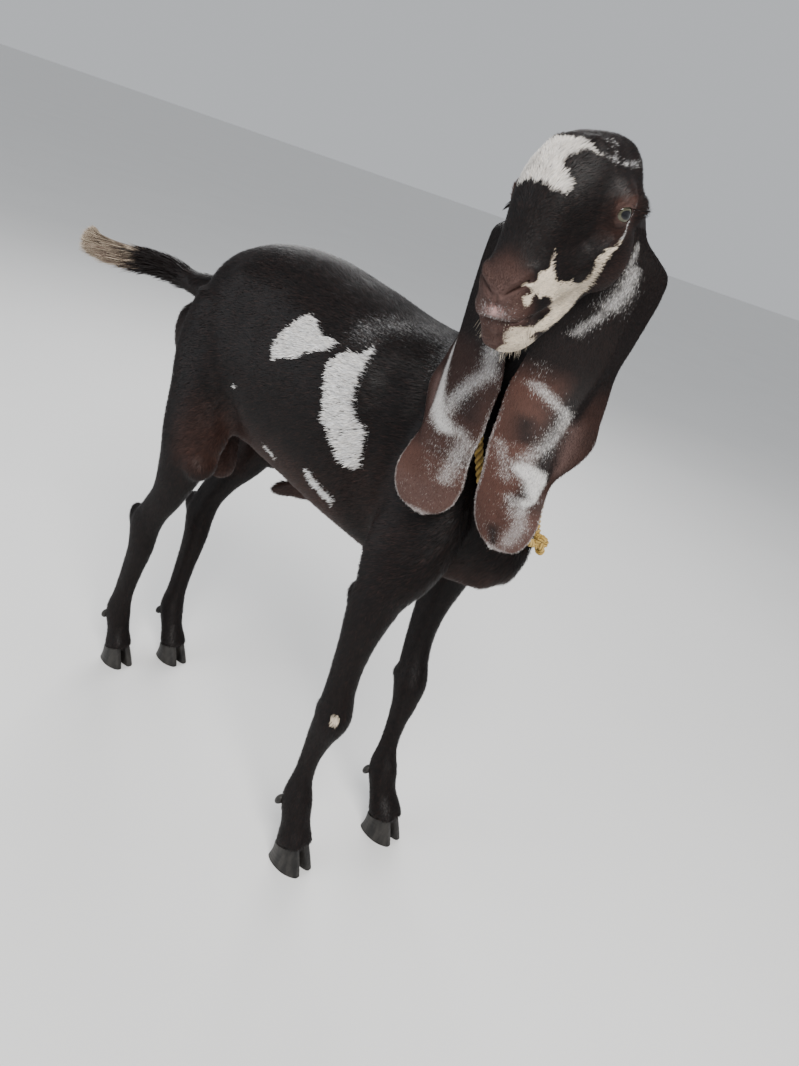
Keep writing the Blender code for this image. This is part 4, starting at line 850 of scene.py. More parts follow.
    def sculpt_head(self, obj: bpy.types.Object) -> None:
        """Lids, brows, nasal lines, nostril wings, lips, chin and the creases round the eye."""
        points, normal = coords(obj), normals(obj)
        at = HEAD.into(points)
        move = np.zeros(len(points))
        for s in (-1.0, 1.0):
            move += 0.0022 * near_path(at, [(-0.014, s * 0.058, 0.004), (-0.004, s * 0.0600, 0.0110),
                                            (0.010, s * 0.056, 0.0090), (0.020, s * 0.049, -0.001)], 0.0040)
            move -= 0.0016 * near_path(at, [(-0.014, s * 0.056, -0.014), (0.002, s * 0.056, -0.0200),
                                            (0.018, s * 0.048, -0.0130)], 0.0034)
            move -= 0.0009 * near_path(at, [(-0.018, s * 0.056, 0.001), (-0.006, s * 0.0600, 0.0072),
                                            (0.009, s * 0.057, 0.0058)], 0.0014)
            move -= 0.0026 * near_path(at, [(0.024, s * 0.046, -0.006), (0.040, s * 0.040, -0.016)], 0.0070)
            move -= 0.0040 * near_spot(at, (0.048, s * 0.037, -0.012), (0.030, 0.020, 0.014))
            move -= 0.0030 * near_spot(at, (0.056, s * 0.033, -0.062), (0.030, 0.020, 0.012))
            move += 0.0020 * near_path(at, [(0.016, s * 0.047, -0.030), (0.052, s * 0.038, -0.038)], 0.0080)
            slit = self.nostril(s)
            move += 0.0020 * near_path(at, [(p[0] - 0.003, p[1] * 1.02, p[2] + 0.006) for p in slit[1:]], 0.0040)
            move -= 0.0030 * near_path(at, slit, 0.0030)
            lips = self.mouth(s)
            move -= 0.0030 * near_path(at, lips, 0.0026)
            move += 0.0016 * near_path(at, [(p[0], p[1], p[2] + 0.007) for p in lips], 0.0045)
            move += 0.0014 * near_path(at, [(p[0] - 0.003, p[1], p[2] - 0.008) for p in lips], 0.0045)
            move += 0.0030 * near_spot(at, (-0.012, s * 0.018, 0.044), (0.012, 0.010, 0.012))
            move -= 0.0030 * near_spot(at, (-0.048, s * 0.038, 0.026), (0.020, 0.012, 0.012))
        move -= 0.0024 * near_path(at, [(0.127, 0.0, -0.033), (0.132, 0.0, -0.045), (0.134, 0.0, -0.054)], 0.0022)
        move += 0.0030 * near_spot(at, (0.070, 0.0, 0.020), (0.035, 0.018, 0.015))
        set_coords(obj, points + normal * move[:, None])

    def refine(self, obj: bpy.types.Object, back: float) -> None:
        """Split once more the faces of the head in front of a given place in the head frame."""
        bm = bmesh.new()
        bm.from_mesh(obj.data)
        at = HEAD.into(np.array([f.calc_center_median()[:] for f in bm.faces]))
        near = (at[:, 0] > back) & (at[:, 2] > -0.11) & (at[:, 2] < 0.08)
        picked = {edge for face, use in zip(bm.faces, near) if use for edge in face.edges}
        bmesh.ops.subdivide_edges(bm, edges=list(picked), cuts=1, use_grid_fill=True, smooth=0.0)
        bmesh.ops.triangulate(bm, faces=[f for f in bm.faces if len(f.verts) > 4])
        bm.to_mesh(obj.data)
        bm.free()

    def inset(self, points: np.ndarray) -> np.ndarray:
        """Depth of the skin under the solids: the height of the coat there."""
        at = HEAD.into(points)
        head = ramp(at[:, 0] + at[:, 2], -0.125, -0.085) * (points[:, 2] > 0.85)
        depth = 0.0022 - 0.0009 * ramp(points[:, 2], 0.50, 0.40) - 0.0013 * head
        eyes = sum(near_spot(points, EYE.centre(s), (0.020,) * 3) for s in Side)
        bare = ramp(at[:, 0], 0.092, 0.108) * head
        return depth - 0.0007 * np.clip(eyes + bare, 0.0, 1.0) * head

    def wedge(self, path: list, depth: float, half: float) -> Shape:
        """Thin cutter along a path of the head frame: diamonds that grow thin toward both ends."""
        rows = resample(np.hstack((np.array(path), np.zeros((len(path), 1)))), 15)[:, :3]
        along = unit(np.gradient(rows, axis=0))
        inward = unit(np.array((0.060, 0.0, -0.045)) - rows)
        inward = unit(inward - np.sum(inward * along, 1, keepdims=True) * along)
        lift = np.cross(along, inward)
        size = (1.0 - 0.65 * np.linspace(-1.0, 1.0, len(rows)) ** 4)[:, None]
        rings = np.stack((rows + inward * depth * size, rows + lift * half * size, rows - inward * 0.006,
                          rows - lift * half * size), 1)
        points = HEAD.out(rings.reshape(-1, 3))
        ends = np.array((points[:4].mean(axis=0), points[-4:].mean(axis=0)))
        return np.concatenate((points, ends)), ring_faces(len(rows), 4)

    def tuck_feet(self, obj: bpy.types.Object) -> None:
        """Draw the skin below each coronet in so that it lies inside the claws."""
        points = coords(obj)
        for x, y, z, half, _ in FEET.values():
            near = (np.abs(points[:, 0] - x) < 0.045) & (np.abs(points[:, 1] - y) < 0.06) & (points[:, 2] < 0.07)
            below = z - CORONET_SLOPE * (points[:, 1] - y) - points[:, 2]
            share = ramp(below, -0.002, 0.005) * near
            points[:, 0] += (x - points[:, 0]) * 0.42 * share
            points[:, 1] += (y - points[:, 1]) * 0.30 * share
            points[:, 2] = np.where(near, np.maximum(points[:, 2], 0.012), points[:, 2])
        set_coords(obj, points)

    def build(self) -> bpy.types.Object:
        """The finished skin in the animal's own frame."""
        obj = new_object("skin", *join_shapes(self.shapes()))
        remesh = obj.modifiers.new("one_surface", "REMESH")
        remesh.mode = "VOXEL"
        remesh.voxel_size = self.voxel
        apply_modifiers(obj)
        ease(obj, 9)
        self.sculpt_body(obj)
        ease(obj, 3)
        self.refine(obj, -0.085)
        ease(obj, 4)
        self.refine(obj, -0.070)
        ease(obj, 2)
        self.sculpt_head(obj)
        points = coords(obj)
        set_coords(obj, points - normals(obj) * self.inset(points)[:, None])
        self.tuck_feet(obj)
        lips = self.mouth(-1.0)[::-1] + self.mouth(1.0)[1:]
        shapes = [self.wedge(lips, 0.0045, 0.0013), self.wedge(self.nostril(-1.0), 0.0070, 0.0019),
                  self.wedge(self.nostril(1.0), 0.0070, 0.0019)]
        carve(obj, shapes + [ball(EYE.centre(s), (EYE.radius + 0.0003,) * 3, HEAD.axes, 22, 36) for s in Side])
        carve(obj, [ball(EYE.centre(s) + EYE.axes(s)[1] * EYE.radius, EYE.opening, EYE.axes(s), 22, 36)
                    for s in Side])
        return obj


# Coronet plane of each foot: x, centre y, centre height, half width of a claw, claw length
FEET = {
    "foreleg_right": (-0.087, -0.519, 0.038, 0.0268, 0.060),
    "foreleg_left": (0.087, -0.563, 0.038, 0.0268, 0.060),
    "hindleg_right": (-0.050, 0.029, 0.034, 0.0236, 0.054),
    "hindleg_left": (0.050, -0.010, 0.034, 0.0236, 0.054),
}
CORONET_SLOPE = 0.30


# ------------------------------------------------------------------ markings


@dataclass
class Marks:
    """What the coat is like at many points, one number each.

    white is a signed distance in metres, above zero inside a pale marking; tick is the share of single
    pale hairs; brown, warm (cream instead of grey) and pink (bare skin) run from 0 to 1.
    """

    white: np.ndarray
    tick: np.ndarray
    brown: np.ndarray
    warm: np.ndarray
    pink: np.ndarray

    @classmethod
    def plain(cls, count: int, brown: float = 0.0) -> "Marks":
        """Plain dark coat at a number of points."""
        return cls(np.full(count, -0.02), np.zeros(count), np.full(count, brown), np.zeros(count), np.zeros(count))

    def add_white(self, distance: np.ndarray, warm: float) -> None:
        """Lay a pale marking over what is there, with its own warmth."""
        self.warm = np.where(distance > np.maximum(self.white, -0.006), warm, self.warm)
        self.white = np.maximum(self.white, distance)

    def on_skin(self) -> np.ndarray:
        """Values of the attribute marks for a smooth surface, the edge of white at one half."""
        share = np.clip(0.5 + self.white / 0.008, 0.0, 1.0)
        mist = np.where(self.tick > 0.03, 0.34 + 0.26 * self.tick, 0.0)
        return np.stack((np.maximum(share, mist), self.brown, self.warm), 1)

    def on_hair(self, rng: np.random.Generator, contrast: np.ndarray) -> np.ndarray:
        """Values of the attribute marks for single tufts.

        Args:
            rng: source of random numbers.
            contrast: how much paler single hairs of a mist are than the rest of it.
        Returns:
            Pale, brown and warm of each tuft.
        """
        count = len(self.tick)
        patch = rng.random(count) < ramp(self.white, -0.00175, 0.00175) * 0.985
        mist = self.tick * (0.55 + 0.30 * rng.random(count)) + contrast * (rng.random(count) < 0.5 * self.tick)
        pale = np.where(patch, 1.0, np.where(mist > 0.02, 0.38 + 0.22 * np.clip(mist, 0.0, 1.0), 0.0))
        warm = np.clip(self.warm + rng.normal(0.0, 0.10, count), 0.0, 1.0)
        return np.stack((pale, np.clip(self.brown + rng.normal(0.0, 0.07, count), 0.0, 1.0), warm), 1)


@dataclass
class Pattern:
    """Outlines of the pale markings, each in the plane that it is seen in."""

    # Pale patches of the right flank as y and z
    flank: tuple = (
        ((-.2796, .7922), (-.2934, .7903), (-.3142, .7800), (-.3479, .7766), (-.3375, .7630), (-.3123, .7532),
         (-.2957, .7384), (-.2779, .7329), (-.2528, .7174), (-.2432, .7365), (-.2547, .7606), (-.2634, .7764)),
        ((-.3610, .7695), (-.3836, .7771), (-.3967, .7957), (-.3995, .7767), (-.4013, .7575), (-.4039, .7346),
         (-.4111, .7175), (-.4219, .7045), (-.4349, .6992), (-.4379, .6854), (-.4411, .6458), (-.4280, .6426),
         (-.4116, .6452), (-.3981, .6590), (-.3878, .6728), (-.3721, .6827), (-.3664, .7066), (-.3528, .7378),
         (-.3481, .7536)),
        ((-.3535, .6064), (-.3656, .6063), (-.3810, .5938), (-.4083, .5859), (-.4033, .5734), (-.3797, .5802),
         (-.3610, .5881)),
    )
    flecks: tuple = (((-.2592, .5925), (-.2819, .5843)), ((-.1795, .6495), (-.1800, .6500)))
    # Single pale hairs over the withers
    withers: tuple = ((-.0788, -.3722, .8038), (-.0533, -.3942, .8211), (-.0330, -.4262, .8287),
                      (-.0347, -.4773, .8281), (-.0627, -.4904, .8080))
    # Cream patch of the forehead as forward and degrees round the head
    forehead: tuple = ((.0144, -58), (.0559, -18), (.0566, -10), (.0557, -1), (.0584, 7), (.0578, 14), (.0549, 19),
                       (.0514, 26.5), (.0449, 26), (.0408, 22), (.0402, 14), (.0367, 9), (.0290, 8), (.0181, 11),
                       (.0083, 14), (.0053, 20), (.0032, 24), (.0017, 19), (-.0008, 12), (-.0065, 2),
                       (-.0052, -7), (-.0049, -18), (.0079, -50))
    # Pale streaks of the poll as forward and degrees round the head
    poll: tuple = (((-.002, 25), (-.009, 30.5), (-.0195, 37.6), (-.035, 42), (-.058, 47.6)),
                   ((-.0206, 26.0), (-.0153, 33.0)), ((-.0208, 19.0), (-.030, 22.0)))
    # Cream stripe of the face as forward and up
    stripe: tuple = (
        (.0725, -.0092), (.0806, -.0160), (.0865, -.0222), (.1002, -.0197), (.1055, -.0243), (.1143, -.0237),
        (.1113, -.0322), (.1189, -.0331), (.1201, -.0399), (.1181, -.0427), (.1143, -.0404), (.1124, -.0351),
        (.1069, -.0339), (.1053, -.0401), (.1002, -.0398), (.0937, -.0430), (.0875, -.0509), (.0719, -.0689),
        (.0806, -.0721), (.0952, -.0713), (.1016, -.0712), (.1193, -.0617), (.1256, -.0593), (.1286, -.0588),
        (.1308, -.0640), (.1319, -.0722), (.1302, -.0780), (.1216, -.0806), (.1134, -.0776), (.1019, -.0759),
        (.0869, -.0830), (.0650, -.0860), (.0426, -.0811), (.0305, -.0665), (.0325, -.0512), (.0267, -.0392),
        (.0191, -.0335), (.0069, -.0308), (.0182, -.0293), (.0264, -.0294), (.0346, -.0357), (.0372, -.0462),
        (.0397, -.0514), (.0485, -.0528), (.0620, -.0431), (.0715, -.0408), (.0817, -.0345), (.0820, -.0241),
        (.0781, -.0170))
    degree: float = 0.0008

    def on_head(self, points: np.ndarray, marks: Marks, share: np.ndarray) -> None:
        """Lay the markings of the head over a coat.

        Args:
            points: places in the animal's frame.
            marks: the coat, changed in place.
            share: how much each place belongs to the head.
        """
        at = HEAD.into(points)
        f, side, u = at.T
        turn = np.degrees(np.arctan2(side, u + 0.02)) * self.degree
        flat = np.stack((f, turn), 1)
        scale = np.array((1.0, self.degree))
        off = (1.0 - share) * 0.05
        wisp = 0.0026 * ramp(f, 0.030, 0.042) * wave_noise(at * (0.30, 1.0, 0.6), 0.0045, 1.0)
        marks.add_white(signed_distance(flat, np.array(self.forehead) * scale) + wisp - off, 0.38)
        profile = np.stack((f, u), 1)
        cheek = np.minimum(signed_distance(profile, self.stripe), np.abs(side) - 0.008)
        chin = 0.014 - np.linalg.norm((at - (0.118, 0.012, -0.086)) * (0.6, 1.0, 1.0), axis=1)
        cheek = np.where(side > 0.0, np.maximum(cheek, chin), np.minimum(cheek, 0.082 - f))
        marks.add_white(cheek - off, 0.90)
        thread = near_path(profile, ((.0069, -.0308), (-.012, -.0230), (-.030, -.0080)), 0.0016)
        marks.tick = np.maximum(marks.tick, thread * 0.9 * share * (np.abs(side) > 0.03))
        for line in self.poll:
            near = near_path(flat, np.array(line) * scale, 0.0027) * (0.62 + 0.5 * wave_noise(at, 0.011, 3.0))
            marks.tick = np.maximum(marks.tick, 0.66 * near * share)
        marks.warm = np.where(f < 0.0, np.maximum(marks.warm, 0.10 * share), marks.warm)
        around = near_spot(at * (1, 0, 1), (-0.008, 0.0, -0.010), (0.026, 1.0, 0.018)) * ramp(np.abs(side), 0.02, 0.035)
        cheeks = near_spot(at * (1, 0, 1), (0.005, 0.0, -0.060), (0.05, 1.0, 0.022))
        marks.brown = np.maximum(marks.brown, share * np.maximum(0.62 * around, 0.22 * cheeks))
        corner = near_spot(at * (1, 0, 1), (0.078, 0.0, -0.058), (0.016, 1.0, 0.008))
        marks.brown = np.maximum(marks.brown, share * (0.75 * corner + 0.50 * ramp(f + 0.2 * u, 0.094, 0.116)))
        nose = ramp(f + 0.25 * (u + 0.03), 0.110, 0.127) * ramp(u, -0.067, -0.060)
        chin = ramp(f, 0.088, 0.105) * ramp(-u, 0.058, 0.066)
        marks.pink = np.maximum(marks.pink, share * np.maximum(0.58 * nose, 0.50 * chin)
                                * ramp(-marks.white, -0.002, 0.003))
        tip = near_spot(at, (0.131, 0.0, -0.045), (0.014, 0.020, 0.011))
        marks.pink = np.maximum(marks.pink, 0.86 * tip * share)
        marks.tick = np.maximum(marks.tick, 0.55 * near_spot(at, (0.132, 0.0, -0.048), (0.012, 0.019, 0.008)) * share)
        lips = near_path(at, BodyForm.mouth(1.0), 0.0034) + near_path(at, BodyForm.mouth(-1.0), 0.0034)
        marks.pink = np.maximum(marks.pink, np.clip(lips, 0.0, 1.0) * share * 0.8)
        for s in Side:
            reach = np.linalg.norm(points - (EYE.centre(s) + EYE.axes(s)[1] * EYE.radius), axis=1)
            marks.pink = np.maximum(marks.pink, 0.38 * ramp(reach, 0.0145, 0.0105) * share)
            marks.brown = np.maximum(marks.brown, 0.5 * ramp(reach, 0.020, 0.012) * share)

    def at(self, points: np.ndarray, normal: np.ndarray) -> Marks:
        """The coat at places of the skin.

        Args:
            points: places in the animal's frame.
            normal: outward normals there.
        Returns:
            The marks.
        """
        x, y, z = points.T
        marks = Marks.plain(len(points), 0.03)
        trunk = ramp(z, 0.46, 0.52) * (1 - ramp(z, 0.86, 0.90))
        low = ramp(-z, -0.650, -0.550) * trunk * ramp(y, -0.46, -0.38) * ramp(-y, 0.06, 0.14)
        rear = ramp(y, -0.05, 0.020) * ramp(z, 0.50, 0.58) * ramp(-z, -0.72, -0.66)
        inner = ramp(-z, -0.62, -0.54) * ramp(z, 0.40, 0.46) * ramp(-np.abs(x), -0.075, -0.045) * 0.28
        marks.brown = np.clip(np.maximum.reduce((marks.brown, 0.34 * low, 0.13 * rear, inner)), 0.0, 1.0)
        pouch = (np.abs(x) < 0.030) & (y > -0.115) & (y < -0.045) & (z < 0.522)
        marks.brown = np.where(pouch, 0.40, marks.brown)
        marks.pink = np.where(pouch, 0.10, 0.0)
        shoulder = near_spot(points * (0, 1, 1), (0.0, -0.46, 0.62), (1.0, 0.09, 0.08)) * 0.12
        marks.brown = np.maximum(marks.brown, shoulder)
        flat = points[:, 1:]
        wobble = 0.0016 * wave_noise(points, 0.013, 2.0)
        right = (x < -0.03) & (normal[:, 0] < 0.1) & (y < -0.12) & (y > -0.50)
        for outline in self.flank:
            marks.add_white(np.where(right, signed_distance(flat, outline) + wobble, -0.03), 0.16)
        for line, wide in zip(self.flecks, (0.0030, 0.0035)):
            away = wide * np.sqrt(-np.log(np.maximum(near_path(flat, line, wide), 1e-9)))
            marks.add_white(np.where(right, wide * 0.8 - away, -0.03), 0.2)
        marks.tick = np.maximum(marks.tick, 0.34 * near_path(points, self.withers, 0.028))
        knee = 0.0070 - np.linalg.norm((points - (-0.1080, -0.5310, 0.3000)) * (1, 1, 0.8), axis=1)
        marks.add_white(knee + 0.0030 * wave_noise(points, 0.011, 6.0), 1.0)
        brush = ramp(y, 0.170, 0.196) * (z > 0.66)
        marks.brown = np.maximum(marks.brown, 0.9 * brush)
        marks.tick = np.maximum(marks.tick, 0.55 * brush)
        marks.warm = np.maximum(marks.warm, brush)
        self.on_head(points, marks, head_share(points))
        return marks


def head_share(points: np.ndarray) -> np.ndarray:
    """How much places belong to the head: 1 in front of a slanted plane behind the cheeks, 0 behind."""
    at = HEAD.into(points)
    return ramp(at[:, 0] + at[:, 2], -0.115, -0.085) * (points[:, 2] > 0.85) * (np.abs(at[:, 0]) < 0.16)


# ------------------------------------------------------------------ coat


@dataclass
class Tufts:
    """Many tufts: where each is rooted, how it lies, its size and its marks."""

    root: np.ndarray
    along: np.ndarray
    normal: np.ndarray
    length: np.ndarray
    width: np.ndarray
    lift: np.ndarray
    marks: np.ndarray
    pink: np.ndarray
    shade: np.ndarray
    chart: np.ndarray

    def pick(self, mask: np.ndarray) -> "Tufts":
        """The tufts that a mask keeps."""
        return Tufts(*(getattr(self, name)[mask] for name in self.__dataclass_fields__))

    def piece(self, name: str, material: bpy.types.Material, slot: str) -> bpy.types.Object:
        """Join the tufts into one mesh of folded kites.

        A kite has its root on the skin, its tip at length along the lie, raised by the lift, and two
        side points a little before its middle, lower than the ridge between root and tip.

        Args:
            name: name of the piece.
            material: finish of the hair.
            slot: material slot of the record, not used.
        Returns:
            The object.
        """
        count = len(self.root)
        side = np.cross(self.normal, self.along)
        size, rise = self.length[:, None], np.sin(self.lift)[:, None]
        ahead, half = np.cos(self.lift)[:, None], self.width[:, None] / 2
        tip = self.root + self.along * size * ahead + self.normal * size * rise
        middle = self.root + self.along * size * 0.42 * ahead + self.normal * (size * 0.50 * rise - half * 0.45)
        start = self.root - self.normal * 0.0002
        verts = np.stack((start, middle + side * half, tip, middle - side * half), 1).reshape(-1, 3)
        base = np.arange(count)[:, None] * 4
        tris = np.concatenate((base + (0, 3, 2), base + (0, 2, 1)), 1).reshape(-1, 3)
        obj = triangle_object(name, verts, tris)
        put_vectors(obj, "marks", np.repeat(self.marks, 4, axis=0))
        # place along the hair, which the coat group turns into painted shade at the root
        tips = np.tile((0.0, 0.62, 1.0, 0.62), count)
        put_vectors(obj, "touch", np.stack((np.repeat(self.pink, 4), np.repeat(self.shade, 4), tips), 1))
        patch = 0.0015 * np.array(((0, -1), (1, 0), (0, 1), (-1, 0)), float)
        corner = np.array((0, 3, 2, 0, 2, 1))
        uv = (0.01 + 0.98 * np.clip(self.chart, 0, 1))[:, None] + patch[corner][None]
        layer = obj.data.uv_layers.new(name="OFBake")
        layer.data.foreach_set("uv", uv.astype(np.float32).ravel())
        place(obj, material, slot)
        return obj


def scatter(points: np.ndarray, tris: np.ndarray, density: np.ndarray, rng: np.random.Generator) -> tuple:
    """Places spread over triangles.

    Args:
        points: corners.
        tris: three point numbers a row.
        density: places for a square metre of each triangle.
        rng: source of random numbers.
    Returns:
        The triangle that each place lies in and the weights of its corners.
    """
    a, b, c = (points[tris[:, k]] for k in range(3))
    total = np.cumsum(0.5 * np.linalg.norm(np.cross(b - a, c - a), axis=1) * density)
    count = int(total[-1])
    pick = np.searchsorted(total, (np.arange(count) + rng.random(count)) / count * total[-1])
    r1, r2 = np.sqrt(rng.random(count)), rng.random(count)
    return np.minimum(pick, len(tris) - 1), np.stack((1 - r1, r1 * (1 - r2), r1 * r2), 1)


@dataclass
class Coat:
    """Short glossy hair over the whole skin, laid as tufts that overlap along the lie."""

    form: BodyForm
    pattern: Pattern
    palette: Palette
    thinned: float = 1.0
    seed: int = 11

    def lie(self, points: np.ndarray, normal: np.ndarray) -> np.ndarray:
        """Way that the hair lies.

        Backward and down on the trunk, down on legs and neck, back to the poll on the head and out
        along the tail, mixed by place, swung by slow waves and made tangent to the skin.
        """
        x, y, z = points.T
        at = HEAD.into(points)
        head = head_share(points)[:, None]
        neck = (ramp((y + 0.585) * -0.584 + (z - 0.775) * 0.812, -0.05, 0.03) * (y < -0.42))[:, None] * (1 - head)
        legs = (ramp(-z, -0.56, -0.47) * (np.abs(x) > 0.02))[:, None]
        tail = (ramp(y, 0.045, 0.075) * (z > 0.62))[:, None]
        down = -0.30 - 0.9 * ramp(y, -0.14, 0.02) - 0.9 * ramp(-y, 0.54, 0.62) - 0.35 * ramp(-z, -0.72, -0.60)
        down = down * np.clip(np.abs(normal[:, 0]) + 0.25, 0, 1)
        trunk = np.stack((np.zeros(len(x)), 1.0 - 0.5 * ramp(y, -0.12, 0.03), down), 1)
        limb = np.stack((np.zeros(len(x)), np.full(len(x), 0.12), np.full(len(x), -1.0)), 1)
        rows = resample(self.form.neck, 60)
        way = unit(np.gradient(rows[:, :3], axis=0))
        throat = -np.stack([np.interp(z, rows[:, 2], way[:, k]) for k in range(3)], 1)
        sideways = np.sign(at[:, 1]) * 0.22 * ramp(at[:, 2], 0.0, 0.05)
        cheek = -0.45 * ramp(-at[:, 2], 0.015, 0.06) * ramp(-at[:, 0], -0.05, 0.0)
        face = np.stack((-np.ones(len(x)), sideways, cheek), 1) @ HEAD.axes
        brush = np.stack((np.full(len(x), -0.28), np.ones(len(x)), -0.25 + 0.1 * normal[:, 2]), 1)
        mixed = trunk * (1 - legs) + unit(limb) * legs
        mixed = mixed * (1 - neck) + throat * neck
        mixed = mixed * (1 - head) + face * head
        mixed = unit(mixed * (1 - tail) + brush * tail)
        across = np.cross(normal, mixed)
        swing = 0.16 * wave_noise(points, 0.060, 1.0) + 0.10 * wave_noise(points, 0.020, 4.0)
        mixed = mixed + across * swing[:, None]
        return unit(mixed - np.sum(mixed * normal, 1, keepdims=True) * normal)

    def sizes(self, points: np.ndarray) -> tuple:
        """Density, length and width of the tufts at places of the skin."""
        x, y, z = points.T
        at = HEAD.into(points)
        head = head_share(points)
        neck = ramp((y + 0.585) * -0.584 + (z - 0.775) * 0.812, -0.05, 0.03) * (y < -0.42)
        legs = ramp(-z, -0.54, -0.42)
        muzzle = ramp(at[:, 0], 0.06, 0.105) * head
        length = 0.0105 - 0.0015 * neck - 0.0040 * legs - 0.0012 * ramp(-z, -0.2, -0.1)
        brow = near_spot(at, (0.020, 0.0, 0.050), (0.035, 0.045, 0.030))
        face = 0.0050 - 0.0026 * muzzle + 0.0030 * ramp(-at[:, 0], 0.02, 0.05) + 0.0028 * brow
        length = length * (1 - head) + face * head
        width = 0.00105 - 0.0003 * legs
        width = width * (1 - head) + (0.00058 - 0.00012 * muzzle) * head
        density = 330e3 + 70e3 * neck + 60e3 * legs
        density = density * (1 - head) + (1000e3 + 300e3 * muzzle) * head
        belly = ramp(-z, -0.56, -0.53) * (np.abs(x) < 0.05) * (y > -0.5) * (y < -0.15)
        return density * self.thinned, length + 0.003 * belly, width

    def bare(self, points: np.ndarray) -> np.ndarray:
        """True where no hair grows: inside the sockets, the slits and the claws."""
        at = HEAD.into(points)
        out = np.zeros(len(points), bool)
        for s in Side:
            out |= np.linalg.norm(points - EYE.centre(s), axis=1) < EYE.radius + 0.0014
        for s in (-1.0, 1.0):
            out |= near_path(at, self.form.mouth(s), 0.0024) > 0.55
            out |= near_path(at, self.form.nostril(s), 0.0042) > 0.45
        out |= near_path(at, [(0.127, 0.0, -0.033), (0.132, 0.0, -0.045), (0.134, 0.0, -0.054)], 0.0030) > 0.4
        for x, y, z, _, _ in FEET.values():
            near = (np.abs(points[:, 0] - x) < 0.045) & (np.abs(points[:, 1] - y) < 0.06)
            out |= near & (points[:, 2] < z - CORONET_SLOPE * (points[:, 1] - y) + 0.0005)
        return out

    def zone(self, points: np.ndarray) -> np.ndarray:
        """Number of the zone that each place belongs to, in the order of Zone."""
        x, y, z = points.T
        neck = ((y + 0.585) * -0.584 + (z - 0.775) * 0.812 > 0.0) & (y < -0.42)
        number = np.where(x < 0.0, 2, 3)
        number = np.where((z < 0.53) & (np.abs(x) > 0.022), np.where(x < 0.0, 4, 5), number)
        number = np.where(neck, 1, number)
        number = np.where((y > 0.055) & (z > 0.62), 6, number)
        return np.where(head_share(points) > 0.5, 0, number)

    def chart(self, points: np.ndarray, zone: np.ndarray) -> np.ndarray:
        """Place of each root on an unwrap of the skin: the turn round each form and the way along it."""
        x, y, z = points.T
        at = HEAD.into(points)
        turn = np.arctan2(at[:, 1], at[:, 2] + 0.015) / (2 * math.pi) + 0.5
        head = np.stack((turn, (at[:, 0] + 0.10) / 0.24), 1)
        rows = resample(self.form.neck, 60)
        cx, cy = (np.interp(z, rows[:, 2], rows[:, k]) for k in (0, 1))
        neck = np.stack((np.arctan2(x - cx, y - cy) / (2 * math.pi) + 0.5, (z - 0.52) / 0.56), 1)
        trunk = np.stack(((y + 0.69) / 0.76, np.arctan2(z - 0.68, np.abs(x)) / math.pi + 0.5), 1)
        legs = np.zeros((len(x), 2))
        for table, start in ((self.form.fore, 0.0), (self.form.hind, 0.5)):
            for sign, column in ((-1.0, 4), (1.0, 5)):
                lx, ly = self.form.leg_line(z, table, sign, column)
                mine = (np.sign(x) == sign) & ((y < -0.30) == (start == 0.0))
                around = np.arctan2(x - lx, y - ly) / (2 * math.pi) + 0.5
                legs[mine] = np.stack((start + 0.48 * around, z / 0.56), 1)[mine]
        tail = np.stack((np.arctan2(x + 0.25 * (y - 0.06), z - 0.729) / (2 * math.pi) + 0.5, (y - 0.04) / 0.25), 1)
        out = np.where((zone == 0)[:, None], head, trunk)
        for number, values in ((1, neck), (4, legs), (5, legs), (6, tail)):
            out = np.where((zone == number)[:, None], values, out)
        return out

    def grow(self, points: np.ndarray, normal: np.ndarray, tris: np.ndarray) -> None:
        """Spread the tufts over the skin and make one piece for each zone."""
        rng = np.random.default_rng(self.seed)
        middle = points[tris].mean(axis=1)
        density, _, _ = self.sizes(middle)
        density = density * ~self.bare(middle)
        pick, share = scatter(points, tris, density, rng)
        root = np.einsum("nk,nkd->nd", share, points[tris[pick]])
        way = unit(np.einsum("nk,nkd->nd", share, normal[tris[pick]]))
        keep = ~self.bare(root)
        root, way = root[keep], way[keep]
        count = len(root)
        _, length, width = self.sizes(root)
        marks = self.pattern.at(root, way)
        clump = cell_noise(root + 0.004 * wave_noise(root, 0.02, 7.0)[:, None], 0.0075, 3.0)
        along = self.lie(root, way)
        across = np.cross(way, along)
        along = unit(along + across * (0.20 * rng.normal(size=count) + 0.30 * (clump - 0.5))[:, None])
        lift = np.radians(10.0 + 6.0 * rng.random(count) + 4.0 * clump)
        length = length * (0.72 + 0.5 * rng.random(count))
        width = width * (0.75 + 0.5 * rng.random(count))
        shade = np.clip(0.5 + 0.20 * rng.normal(size=count) + 0.30 * (clump - 0.5), 0.0, 1.0)
        zone = self.zone(root)
        pink = marks.pink * 0.55
        hair = marks.on_hair(rng, 0.12 + 0.28 * head_share(root))
        tufts = Tufts(root, along, way, length, width, lift, hair, pink, shade, self.chart(root, zone))
        for number, kind in enumerate(Zone):
            tufts.pick(zone == number).piece(kind.value, self.palette.hair, ZONE_SLOT[kind])


